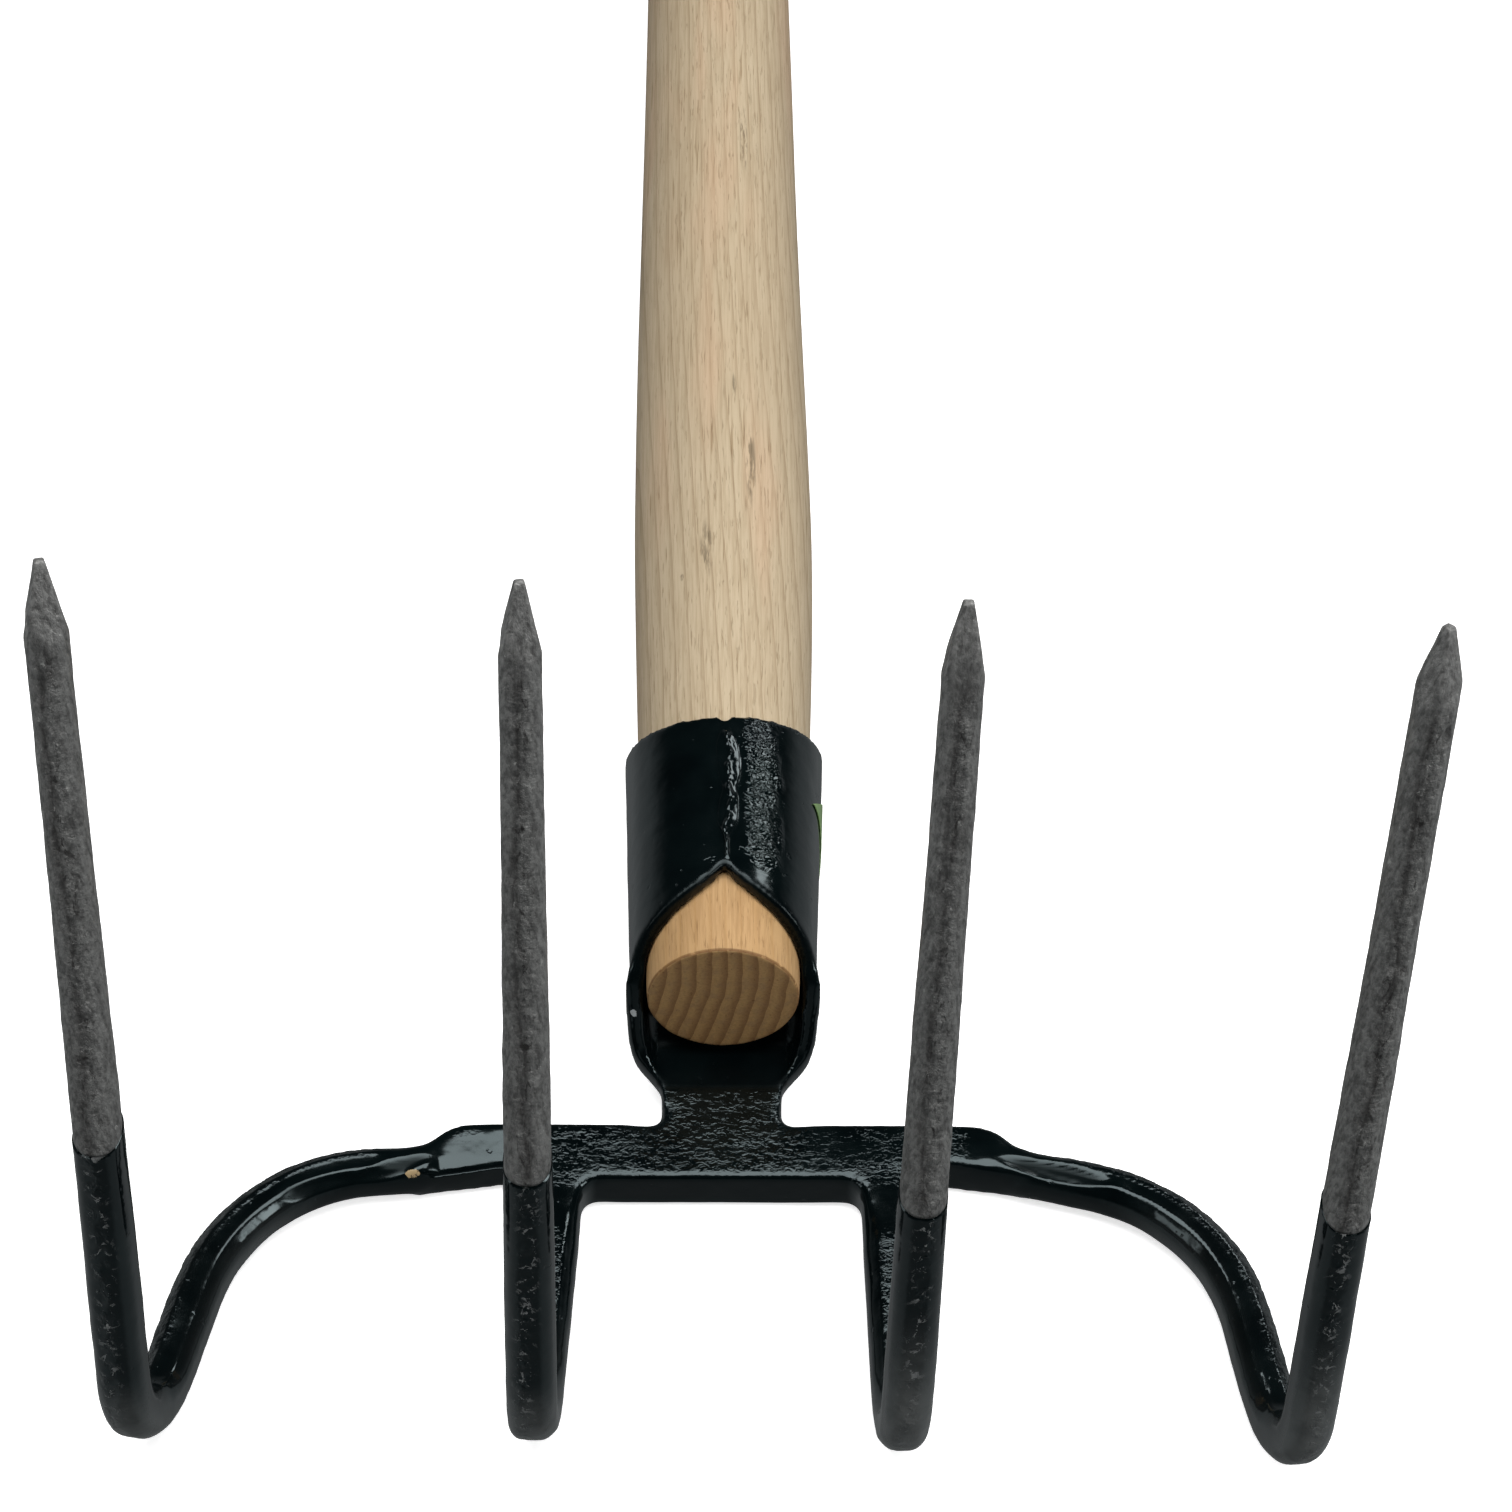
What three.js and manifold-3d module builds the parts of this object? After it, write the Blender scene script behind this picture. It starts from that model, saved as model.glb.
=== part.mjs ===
// Four-tine bent-tine cultivator (drag fork): a rolled-eye steel forging on a round ash handle.
// Millimetres. The origin is the centre of the handle's sawn lower end face. +Y runs along the
// handle towards the grip end, +Z is the way the tines point, and X is across the head.
import * as THREE from "three";
import { mergeVertices } from "three/addons/utils/BufferGeometryUtils.js";
import Module from "manifold-3d";

// ---- driving dimensions ----

const FIT_GAP = 0.3; // clearance kept between pieces that touch

const HANDLE_LENGTH = 1350;
const HANDLE_RADIUS = 19.8;
const HANDLE_BELLY = 0.45; // extra radius just above the socket
const HANDLE_BELLY_AT = 160;
const HANDLE_BELLY_SPREAD = 70;
const HANDLE_END_RADIUS = 14.9; // at the sawn face
const SEAT_END = 140; // where the tapered seat has run out into the full handle
const SEAT_CURVE = 1.65; // 1 would be a straight taper; more rounds it over into the full handle
const DOME_LENGTH = 16;

const SOCKET_MOUTH = 63; // mean place of the rear rim along the handle
const SOCKET_RIM_TILT = 6.2; // the rim is this much shorter at the seam
const SOCKET_MOUTH_RADIUS = 20.8;
const SOCKET_FRONT_RADIUS = 18.5;
const SOCKET_FRONT = 6; // where the closed tube opens out into the neck
const WALL_MOUTH = 2.4;
const WALL_FRONT = 3.0;
const RIM_ANGLE = 75; // degrees from the seam at which the front rim meets the neck

const SEAM_START = 22; // the weld bead's run along the seam
const SEAM_END = 53;
const SEAM_GAP = 0.5; // half width of the open seam beyond the bead
const SEAM_GROOVE = 2.3; // half width of the groove that the bead fills
const BEAD_HEIGHT = 0.8;

const BAR_TOP = -18;
const BAR_THICKNESS = 9;
const BAR_MIDDLE = BAR_TOP - BAR_THICKNESS / 2;
const BAR_REAR = -16.6;
const BAR_FRONT_MIDDLE = -29.8; // front edge between the two inner legs
const BAR_FRONT_ARM = -26; // front edge outside them
const BAR_BEVEL = 0.8;
const ARM_STEP = 50; // where the arm's rear edge steps down to the rod
const ARM_END = 58;
const ARM_ROD_Y = -25;
const NECK_END = -13.5;
const NECK_HALF_WIDTH = 11.4;
const NECK_FILLET = 3.2;

const LEG_X = 31.6; // inner legs, where they leave the crossbar
const LEG_HALF_WIDTH = 4.3;
const LEG_FILLET = 4.5;
const LEG_ROOT = -35.5;

const BEND_RADIUS = 16; // to the bar's centre line
const OUTER_SWEEP_RADIUS = 33.8;
const POINT_Z = 156;
const POINT_LENGTH = 12.5;
const TIP_RADIUS = 0.9;
const BAR_RADIUS_BEND = 4.3; // half the bar's width across its flats
const BAR_RADIUS_PAINT_LINE = 4;
const BAR_RADIUS_SHOULDER = 3.25;
const BAR_RADIUS_ARM = 4;

// Each tine as it was bent and dipped by hand: the corner of its bend, the plan angle of its leg
// (degrees, inwards), its point, and its painted length above the corner.
const TINES = {
  outer_left: {
    outer: true,
    side: -1,
    corner: [-105.7, -90.8],
    legAngle: 10.8,
    point: [-102.2, -44.1],
    paint: 77.8,
  },
  inner_left: {
    outer: false,
    side: -1,
    corner: [-34.2, -90.9],
    legAngle: 2.3,
    point: [-32.0, -47.8],
    paint: 73.2,
  },
  inner_right: {
    outer: false,
    side: 1,
    corner: [32.2, -92.8],
    legAngle: 0.6,
    point: [33.5, -51.3],
    paint: 69.1,
  },
  outer_right: {
    outer: true,
    side: 1,
    corner: [103.2, -95.1],
    legAngle: 6.8,
    point: [103.0, -55.6],
    paint: 69.2,
  },
};

const SCREW_AT = 42;
const SCREW_HEAD_RADIUS = 4.2;
const SCREW_HEAD_HEIGHT = 2.4;
const SCREW_SHANK_RADIUS = 2;
const SCREW_DEPTH = 18; // into the wood

// Degrees from the seam, and places along the handle. The near edge slants away towards the front,
// and the rear edge leans towards the grip.
const LABEL = {
  near: 64.5,
  slant: 3.3,
  far: 108,
  front: 34,
  rear: 44.3,
  lean: 0.3,
  gap: 0.12,
  thickness: 0.2,
};

// ---- materials ----

const finish = (color, roughness, metalness) =>
  new THREE.MeshStandardMaterial({ color, roughness, metalness });
const WOOD = finish(0xc2b197, 0.7, 0);
const PAINT = finish(0x10181a, 0.25, 0.3);
const STEEL = finish(0x4e4e4c, 0.55, 0.9);
const ZINC = finish(0xa8aaa6, 0.4, 1);
const PRINT = finish(0x708261, 0.5, 0);

// ---- geometry helpers ----

const radians = (degrees) => (degrees * Math.PI) / 180;
const mix = (a, b, t) => a + (b - a) * t;
const clamp01 = (t) => Math.min(1, Math.max(0, t));
const smooth = (t) => clamp01(t) ** 2 * (3 - 2 * clamp01(t));

function geometryOf(points, triangles) {
  const geometry = new THREE.BufferGeometry();
  geometry.setAttribute("position", new THREE.Float32BufferAttribute(points.flatMap((p) => p.toArray()), 3));
  geometry.setIndex(triangles);
  geometry.computeVertexNormals();
  return geometry;
}

// A closed sheet between two surfaces, each a function of (u, v) in 0..1. Its faces look outwards
// when the cross product of the u and v directions points from lower to upper.
function thickSheet(lower, upper, uSteps, vSteps) {
  const points = [];
  const triangles = [];
  const row = uSteps + 1;
  const layer = row * (vSteps + 1);
  for (const surface of [upper, lower])
    for (let j = 0; j <= vSteps; j++)
      for (let i = 0; i <= uSteps; i++) points.push(surface(i / uSteps, j / vSteps));
  const quad = (a, b, c, d) => triangles.push(a, b, c, a, c, d);
  for (let j = 0; j < vSteps; j++)
    for (let i = 0; i < uSteps; i++) {
      const a = j * row + i;
      quad(a, a + 1, a + row + 1, a + row);
      quad(layer + a, layer + a + row, layer + a + row + 1, layer + a + 1);
    }
  for (let i = 0; i < uSteps; i++) {
    const far = vSteps * row + i;
    quad(i, layer + i, layer + i + 1, i + 1);
    quad(far, far + 1, layer + far + 1, layer + far);
  }
  for (let j = 0; j < vSteps; j++) {
    const near = j * row;
    const far = near + uSteps;
    quad(near, near + row, layer + near + row, layer + near);
    quad(far, layer + far, layer + far + row, far + row);
  }
  return geometryOf(points, triangles);
}

// A closed bar through rings of equal length, with flat ends.
function barThrough(rings) {
  const sides = rings[0].length;
  const points = rings.flat();
  const triangles = [];
  for (let r = 0; r < rings.length - 1; r++)
    for (let k = 0; k < sides; k++) {
      const a = r * sides + k;
      const b = r * sides + ((k + 1) % sides);
      triangles.push(a, b, b + sides, a, b + sides, a + sides);
    }
  const last = (rings.length - 1) * sides;
  for (let k = 1; k < sides - 1; k++) {
    triangles.push(0, k + 1, k);
    triangles.push(last, last + k, last + k + 1);
  }
  return geometryOf(points, triangles);
}

const wasm = await Module();
wasm.setup();

function solidOf(geometry) {
  const bare = geometry.clone();
  bare.deleteAttribute("normal");
  bare.deleteAttribute("uv");
  const merged = mergeVertices(bare, 1e-4);
  return new wasm.Manifold(
    new wasm.Mesh({
      numProp: 3,
      vertProperties: new Float32Array(merged.attributes.position.array),
      triVerts: new Uint32Array(merged.index.array),
    }),
  );
}

function cut(geometry, tool) {
  const mesh = solidOf(geometry).subtract(solidOf(tool)).getMesh();
  const result = new THREE.BufferGeometry();
  result.setAttribute("position", new THREE.BufferAttribute(mesh.vertProperties, 3));
  result.setIndex(new THREE.BufferAttribute(mesh.triVerts, 1));
  return result.toNonIndexed();
}

// ---- handle ----

function handleRadius(y) {
  const seat = mix(HANDLE_END_RADIUS, HANDLE_RADIUS, 1 - (1 - clamp01(y / SEAT_END)) ** SEAT_CURVE);
  const belly = HANDLE_BELLY * Math.exp(-(((y - HANDLE_BELLY_AT) / HANDLE_BELLY_SPREAD) ** 2));
  return seat + belly;
}

function handleShaft() {
  const profile = [new THREE.Vector2(0, 0), new THREE.Vector2(HANDLE_END_RADIUS - 0.4, 0)];
  const stations = [0.4, 12, 24, 36, 48, 60, 72, 84, 96, 110, 125, 145, 170, 200, 240, 300];
  for (const y of stations) profile.push(new THREE.Vector2(handleRadius(y), y));
  const domeSteps = 5;
  for (let i = 0; i < domeSteps; i++) {
    const a = (i / domeSteps) * (Math.PI / 2);
    const y = HANDLE_LENGTH - DOME_LENGTH * (1 - Math.sin(a));
    profile.push(new THREE.Vector2(HANDLE_RADIUS * Math.cos(a), y));
  }
  profile.push(new THREE.Vector2(0, HANDLE_LENGTH));
  const pilot = new THREE.CylinderGeometry(SCREW_SHANK_RADIUS + FIT_GAP, SCREW_SHANK_RADIUS + FIT_GAP, 40, 12);
  pilot.rotateX(Math.PI / 2);
  pilot.translate(0, SCREW_AT, -20 - handleRadius(SCREW_AT) + SCREW_DEPTH + FIT_GAP);
  return cut(new THREE.LatheGeometry(profile, 32), pilot);
}

// ---- socket: a plate rolled round the handle, its edges meeting in a seam on the tine side ----

const socketOuter = (y) =>
  mix(SOCKET_FRONT_RADIUS, SOCKET_MOUTH_RADIUS, (y - SOCKET_FRONT) / (SOCKET_MOUTH - SOCKET_FRONT));
const socketWall = (y) => mix(WALL_FRONT, WALL_MOUTH, clamp01((y - SOCKET_FRONT) / 40));
const rearRim = (angle) => SOCKET_MOUTH - SOCKET_RIM_TILT * Math.cos(radians(angle));

// The plate's two front corners are rounded, so the rim is a pointed arch with its apex at the seam.
function frontRim(angle) {
  const fromSeam = Math.min(angle, 360 - angle);
  if (fromSeam > RIM_ANGLE) return SOCKET_FRONT + FIT_GAP / 2;
  return 15.4 - 0.125 * fromSeam + 3.6 * Math.exp(-fromSeam / 12);
}

// A point at an angle from the seam, which faces +Z, and a distance from the handle's axis.
const roundHandle = (angle, radius, y) =>
  new THREE.Vector3(radius * Math.sin(radians(angle)), y, radius * Math.cos(radians(angle)));

const seamRun = (y) => smooth((y - SEAM_START) / 3) * smooth((SEAM_END - y) / 3);

function socket() {
  const surface = (outside) => (u, v) => {
    const fullTurn = mix(0, 360, u);
    const y = mix(frontRim(fullTurn), rearRim(fullTurn), v);
    const radius = outside ? socketOuter(y) : socketOuter(y) - socketWall(y);
    const halfGap = outside ? mix(SEAM_GAP, SEAM_GROOVE, seamRun(y)) : SEAM_GAP;
    const gapAngle = (halfGap / radius) * (180 / Math.PI);
    return roundHandle(mix(gapAngle, 360 - gapAngle, u), radius, y);
  };
  const hole = new THREE.CylinderGeometry(SCREW_SHANK_RADIUS + FIT_GAP, SCREW_SHANK_RADIUS + FIT_GAP, 30, 12);
  hole.rotateX(Math.PI / 2);
  hole.translate(0, SCREW_AT, -25);
  return cut(thickSheet(surface(false), surface(true), 60, 12), hole);
}

function seamWeld() {
  const from = SEAM_START - 2;
  const to = SEAM_END + 2;
  const ripple = (y) => 0.18 * Math.sin(y * 1.9) + 0.12 * Math.sin(y * 0.83 + 1);
  const surface = (top) => (u, v) => {
    const y = mix(from, to, v);
    const full = seamRun(y);
    const across = 2 * u - 1;
    const halfWidth = top ? mix(SEAM_GAP * 0.4, SEAM_GROOVE - FIT_GAP - 0.1, full) : SEAM_GAP * 0.4;
    const crown = BEAD_HEIGHT * full * Math.sqrt(1 - across * across * 0.9) * (1 + ripple(y));
    const radius = top ? socketOuter(y) + crown : socketOuter(y) - 1.5;
    return roundHandle(((across * halfWidth) / radius) * (180 / Math.PI), radius, y);
  };
  return thickSheet(surface(false), surface(true), 6, 24);
}

function label() {
  const surface = (lift) => (u, v) => {
    const level = mix(LABEL.front, LABEL.rear, v);
    const angle = mix(LABEL.near + LABEL.slant * (LABEL.rear - level), LABEL.far, u);
    const y = level + LABEL.lean * (angle - LABEL.near) * v;
    return roundHandle(angle, socketOuter(y) + lift, y);
  };
  return thickSheet(surface(LABEL.gap), surface(LABEL.gap + LABEL.thickness), 12, 4);
}

function screw() {
  const seat = socketOuter(SCREW_AT) + FIT_GAP;
  const end = handleRadius(SCREW_AT) - SCREW_DEPTH;
  const profile = [
    new THREE.Vector2(0, end),
    new THREE.Vector2(SCREW_SHANK_RADIUS, end + 4),
    new THREE.Vector2(SCREW_SHANK_RADIUS, seat),
    new THREE.Vector2(SCREW_HEAD_RADIUS, seat),
    new THREE.Vector2(SCREW_HEAD_RADIUS * 0.9, seat + SCREW_HEAD_HEIGHT * 0.55),
    new THREE.Vector2(SCREW_HEAD_RADIUS * 0.5, seat + SCREW_HEAD_HEIGHT * 0.92),
    new THREE.Vector2(0, seat + SCREW_HEAD_HEIGHT),
  ];
  const geometry = new THREE.LatheGeometry(profile, 20);
  geometry.rotateX(-Math.PI / 2);
  geometry.translate(0, SCREW_AT, 0);
  return geometry;
}

// ---- neck: the plate opens out of the socket, flattens and thickens into the crossbar ----

// y, half width between the side edges, how far they rise above the floor, the floor's height, thickness
const NECK_STATIONS = [
  [NECK_END + FIT_GAP / 2, NECK_HALF_WIDTH, 0.02, BAR_TOP, BAR_THICKNESS],
  [-10, 11.3, 0.04, BAR_TOP, 8.2],
  [-7, 11.6, 0.8, -17.9, 6.6],
  [-5, 13.2, 2, -17.5, 5.2],
  [-2.6, 15, 4, -17, 4],
  [-0.5, 15.5, 9.5, -16.5, 3.4],
  [1.2, 15.5, 14.4, -16.1, 3.1],
  [3.4, 15.6, 17.4, -15.8, WALL_FRONT],
  [SOCKET_FRONT - FIT_GAP / 2, 14.97, 19.51, -15.5, WALL_FRONT],
];

function neck() {
  const last = NECK_STATIONS.length - 1;
  const station = (v) => {
    const at = Math.min(v * last, last - 1e-9);
    const from = NECK_STATIONS[Math.floor(at)];
    const to = NECK_STATIONS[Math.floor(at) + 1];
    return from.map((value, k) => mix(value, to[k], at % 1));
  };
  // A circular arc through both side edges and the floor, and the same arc moved out by the thickness.
  const surface = (outside) => (u, v) => {
    const [y, half, rise, floor, thickness] = station(v);
    const radius = (half * half + rise * rise) / (2 * rise);
    const angle = 2 * Math.atan2(rise, half) * (2 * u - 1);
    const offset = outside ? thickness : 0;
    return new THREE.Vector3(
      (radius + offset) * Math.sin(angle),
      y,
      floor + radius - (radius + offset) * Math.cos(angle),
    );
  };
  return thickSheet(surface(true), surface(false), 20, 16);
}

// ---- crossbar ----

function crossbar() {
  const outline = new THREE.Shape();
  const legIn = LEG_X - LEG_HALF_WIDTH;
  const legOut = LEG_X + LEG_HALF_WIDTH;
  const rodHalf = BAR_RADIUS_ARM - 0.2;
  const half = [
    ["line", NECK_HALF_WIDTH, NECK_END],
    ["curve", NECK_HALF_WIDTH + 0.4, BAR_REAR, NECK_HALF_WIDTH + NECK_FILLET, BAR_REAR],
    ["line", ARM_STEP, BAR_REAR],
    ["curve", ARM_END - 3, BAR_REAR, ARM_END, ARM_ROD_Y + rodHalf],
    ["line", ARM_END, ARM_ROD_Y - rodHalf],
    ["curve", ARM_STEP + 1, BAR_FRONT_ARM, ARM_STEP - 6, BAR_FRONT_ARM],
    ["line", legOut + LEG_FILLET, BAR_FRONT_ARM],
    ["curve", legOut, BAR_FRONT_ARM, legOut, BAR_FRONT_ARM - LEG_FILLET],
    ["line", legOut, LEG_ROOT],
    ["line", legIn, LEG_ROOT],
    ["line", legIn, BAR_FRONT_MIDDLE - LEG_FILLET],
    ["curve", legIn, BAR_FRONT_MIDDLE, legIn - LEG_FILLET, BAR_FRONT_MIDDLE],
  ];
  const draw = ([kind, ...xy]) => (kind === "line" ? outline.lineTo(...xy) : outline.quadraticCurveTo(...xy));
  outline.moveTo(0, NECK_END);
  half.forEach(draw);
  const ends = half.map((step) => step.slice(-2));
  for (let i = half.length - 1; i >= 0; i--) {
    const [x, y] = ends[i];
    const next = half[i + 1];
    if (!next) outline.lineTo(-x, y);
    else if (next[0] === "line") outline.lineTo(-x, y);
    else outline.quadraticCurveTo(-next[1], next[2], -x, y);
  }
  const geometry = new THREE.ExtrudeGeometry(outline, {
    depth: BAR_THICKNESS - 2 * BAR_BEVEL,
    bevelThickness: BAR_BEVEL,
    bevelSize: BAR_BEVEL,
    bevelOffset: -BAR_BEVEL,
    bevelSegments: 1,
    curveSegments: 5,
  });
  geometry.translate(0, 0, BAR_TOP - BAR_THICKNESS + BAR_BEVEL);
  return geometry;
}

// ---- tines ----

// The bar's centre line from its root on the crossbar, round the bend and up to the point.
function tinePath({ side, corner, legAngle, point, outer }) {
  const bend = new THREE.Vector3(corner[0], corner[1], BAR_MIDDLE);
  const up = new THREE.Vector3(point[0], point[1], POINT_Z).sub(bend);
  const reach = up.length();
  up.normalize();
  const lean = radians(legAngle);
  const back = new THREE.Vector3(-side * Math.sin(lean), Math.cos(lean), 0);
  const angle = up.angleTo(back);
  const tangent = BEND_RADIUS / Math.tan(angle / 2);
  const centre = up.clone().add(back).normalize().multiplyScalar(BEND_RADIUS / Math.sin(angle / 2)).add(bend);
  const onLeg = bend.clone().addScaledVector(back, tangent);
  const onTine = bend.clone().addScaledVector(up, tangent);
  const points = [];
  if (outer) {
    // The outer leg leaves the arm sideways and sweeps forwards on one round curve.
    const sweepEnd = onLeg.clone().addScaledVector(back, 18);
    const inward = new THREE.Vector3(-side * Math.cos(lean), -Math.sin(lean), 0);
    const sweepCentre = sweepEnd.clone().addScaledVector(inward, OUTER_SWEEP_RADIUS);
    const arm = new THREE.Vector3(side * (ARM_END + FIT_GAP), ARM_ROD_Y, BAR_MIDDLE);
    const sweep = [];
    for (let a = lean; a < radians(84); a += radians(8)) {
      const spoke = new THREE.Vector3(side * Math.cos(a), Math.sin(a), 0);
      sweep.unshift(sweepCentre.clone().addScaledVector(spoke, OUTER_SWEEP_RADIUS));
    }
    points.push(arm, ...sweep);
  } else {
    points.push(new THREE.Vector3(side * LEG_X, LEG_ROOT - FIT_GAP, BAR_MIDDLE));
  }
  points.push(onLeg);
  const from = onLeg.clone().sub(centre).normalize();
  const to = onTine.clone().sub(centre).normalize();
  const turn = from.angleTo(to);
  const steps = 8;
  for (let i = 1; i <= steps; i++) {
    const t = i / steps;
    const spoke = from
      .clone()
      .multiplyScalar(Math.sin((1 - t) * turn) / Math.sin(turn))
      .addScaledVector(to, Math.sin(t * turn) / Math.sin(turn));
    points.push(centre.clone().addScaledVector(spoke, BEND_RADIUS));
  }
  return { points, up, bend, reach };
}

// An octagonal section: a square bar with its corners hammered down.
function octagon(centre, tangent, sideways, radius) {
  const across = sideways.clone().addScaledVector(tangent, -sideways.dot(tangent)).normalize();
  const over = tangent.clone().cross(across);
  const ring = [];
  for (let k = 0; k < 8; k++) {
    const a = radians(45 * k + 22.5);
    const reach = radius / Math.cos(radians(22.5));
    ring.push(
      centre
        .clone()
        .addScaledVector(across, reach * Math.cos(a))
        .addScaledVector(over, reach * Math.sin(a)),
    );
  }
  return ring;
}

// The bar is turned so that one flat always lies in the plane of the leg, and follows the bend.
function ringsAlong(points, startTangent, endTangent, radiusAt) {
  const tangents = points.map((p, i) => {
    if (i === 0) return startTangent.clone();
    if (i === points.length - 1) return endTangent.clone();
    return points[i + 1].clone().sub(points[i - 1]).normalize();
  });
  let sideways = tangents[0].clone().cross(new THREE.Vector3(0, 0, 1)).normalize();
  return points.map((p, i) => {
    if (i > 0) {
      const turn = new THREE.Quaternion().setFromUnitVectors(tangents[i - 1], tangents[i]);
      sideways = sideways.clone().applyQuaternion(turn).normalize();
    }
    return octagon(p, tangents[i], sideways, radiusAt(i / (points.length - 1)));
  });
}

function tineShank(tine) {
  const { points, up, bend } = tinePath(tine);
  points.push(bend.clone().addScaledVector(up, tine.paint - FIT_GAP / 2));
  const root = tine.outer ? BAR_RADIUS_ARM : LEG_HALF_WIDTH;
  const start = tine.outer ? new THREE.Vector3(tine.side, 0, 0) : new THREE.Vector3(0, -1, 0);
  const slim = 1 / points.length; // the last stretch of bar, above the bend
  const radiusAt = (t) =>
    t > 1 - slim ? BAR_RADIUS_PAINT_LINE : mix(root, BAR_RADIUS_BEND, smooth(t * 2.5));
  return barThrough(ringsAlong(points, start, up, radiusAt));
}

function tineProng(tine) {
  const { up, bend, reach } = tinePath(tine);
  const shoulder = reach - POINT_LENGTH;
  const sideways = new THREE.Vector3(1, 0, 0);
  const rings = [];
  const station = (along, radius) =>
    rings.push(octagon(bend.clone().addScaledVector(up, along), up, sideways, radius));
  station(tine.paint + FIT_GAP / 2, BAR_RADIUS_PAINT_LINE);
  station(mix(tine.paint, shoulder, 0.5), mix(BAR_RADIUS_PAINT_LINE, BAR_RADIUS_SHOULDER, 0.45));
  station(shoulder, BAR_RADIUS_SHOULDER);
  station(reach - TIP_RADIUS, TIP_RADIUS);
  station(reach, TIP_RADIUS * 0.4);
  return barThrough(rings);
}

// ---- assembly ----

const group = new THREE.Group();

function add(name, geometry, material) {
  const mesh = new THREE.Mesh(geometry, material);
  mesh.name = name;
  group.add(mesh);
}

add("handle_shaft", handleShaft(), WOOD);
add("handle_screw", screw(), ZINC);
add("socket", socket(), PAINT);
add("socket_seam_weld", seamWeld(), PAINT);
add("neck", neck(), PAINT);
add("crossbar", crossbar(), PAINT);
for (const [name, tine] of Object.entries(TINES)) {
  add(`tine_shank_${name}`, tineShank(tine), PAINT);
  add(`tine_prong_${name}`, tineProng(tine), STEEL);
}
add("label", label(), PRINT);

export default group;
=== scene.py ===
"""Looks of the bent-tine cultivator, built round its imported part.

The frame is the part's own: the origin at the centre of the handle's sawn end, +Y along the handle,
+Z the way the tines point. Lengths in this script are millimetres until a mesh is made.
"""

import itertools
import math

import bmesh
import bpy
import numpy as np
from mathutils import Matrix


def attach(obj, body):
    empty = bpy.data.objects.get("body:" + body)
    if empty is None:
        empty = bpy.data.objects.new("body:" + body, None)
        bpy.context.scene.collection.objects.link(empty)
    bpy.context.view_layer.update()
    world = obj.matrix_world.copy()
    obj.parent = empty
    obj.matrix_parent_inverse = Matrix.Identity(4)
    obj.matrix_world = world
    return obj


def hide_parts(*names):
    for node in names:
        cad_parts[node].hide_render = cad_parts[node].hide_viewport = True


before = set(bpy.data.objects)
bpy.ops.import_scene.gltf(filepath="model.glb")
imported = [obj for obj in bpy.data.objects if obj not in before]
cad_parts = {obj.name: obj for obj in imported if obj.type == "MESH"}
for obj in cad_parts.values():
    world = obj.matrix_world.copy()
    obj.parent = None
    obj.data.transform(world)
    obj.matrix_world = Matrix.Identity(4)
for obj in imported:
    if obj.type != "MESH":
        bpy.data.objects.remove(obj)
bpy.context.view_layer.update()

MM = 0.001

# ---- driving dimensions: those of the part ----

HANDLE_LENGTH = 1350
HANDLE_RADIUS = 19.8
HANDLE_BELLY = 0.45
HANDLE_BELLY_AT = 160
HANDLE_BELLY_SPREAD = 70
HANDLE_END_RADIUS = 14.9
SEAT_END = 140
SEAT_CURVE = 1.65
DOME_LENGTH = 16

SOCKET_MOUTH = 63
SOCKET_RIM_TILT = 6.2
SOCKET_MOUTH_RADIUS = 20.8
SOCKET_FRONT_RADIUS = 18.5
SOCKET_FRONT = 6
WALL_MOUTH = 2.4
WALL_FRONT = 3.0
RIM_ANGLE = 75

SEAM_START = 22
SEAM_END = 53

BAR_TOP = -18
BAR_THICKNESS = 9
BAR_MIDDLE = BAR_TOP - BAR_THICKNESS / 2
BAR_REAR = -16.6
BAR_FRONT_MIDDLE = -29.8
BAR_FRONT_ARM = -26
ARM_STEP = 50
ARM_END = 58
ARM_ROD_Y = -25
NECK_END = -13.5
NECK_HALF_WIDTH = 11.4
NECK_FILLET = 3.2
LEG_X = 31.6
LEG_HALF_WIDTH = 4.3
LEG_FILLET = 4.5
LEG_ROOT = -35.5

BEND_RADIUS = 16
OUTER_SWEEP_RADIUS = 33.8
POINT_Z = 156
POINT_LENGTH = 12.5
TIP_RADIUS = 0.9
BAR_RADIUS_BEND = 4.3
BAR_RADIUS_PAINT_LINE = 4
BAR_RADIUS_SHOULDER = 3.25
BAR_RADIUS_ARM = 4

SCREW_AT = 42
SCREW_HEAD_RADIUS = 4.2
SCREW_HEAD_HEIGHT = 2.4
SCREW_SHANK_RADIUS = 2
SCREW_DEPTH = 18

# near and far in degrees round the socket, the rest in millimetres; gap is the air under the film
LABEL = dict(near=64.5, far=108, front=34, rear=44.3, slant=3.3, lean=0.3, gap=0.12, thickness=0.2)

# The corner of each tine's bend, the plan angle of its leg, its point, and its painted length.
TINES = {
    "outer_left": dict(corner=(-105.7, -90.8), lean=10.8, point=(-102.2, -44.1), paint=77.8),
    "inner_left": dict(corner=(-34.2, -90.9), lean=2.3, point=(-32.0, -47.8), paint=73.2),
    "inner_right": dict(corner=(32.2, -92.8), lean=0.6, point=(33.5, -51.3), paint=69.1),
    "outer_right": dict(corner=(103.2, -95.1), lean=6.8, point=(103.0, -55.6), paint=69.2),
}
for name, tine in TINES.items():
    tine["outer"] = name.startswith("outer")
    tine["side"] = -1 if name.endswith("left") else 1

HANDLE_BOW = 0.65  # how far the handle and its socket lean to +X where they are furthest out
HANDLE_BOW_AT = 105
HANDLE_BOW_SPREAD = 80

# ---- number helpers ----


def mix(a, b, t):
    return a + (b - a) * t


def smooth(t):
    t = np.clip(t, 0, 1)
    return t * t * (3 - 2 * t)


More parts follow.
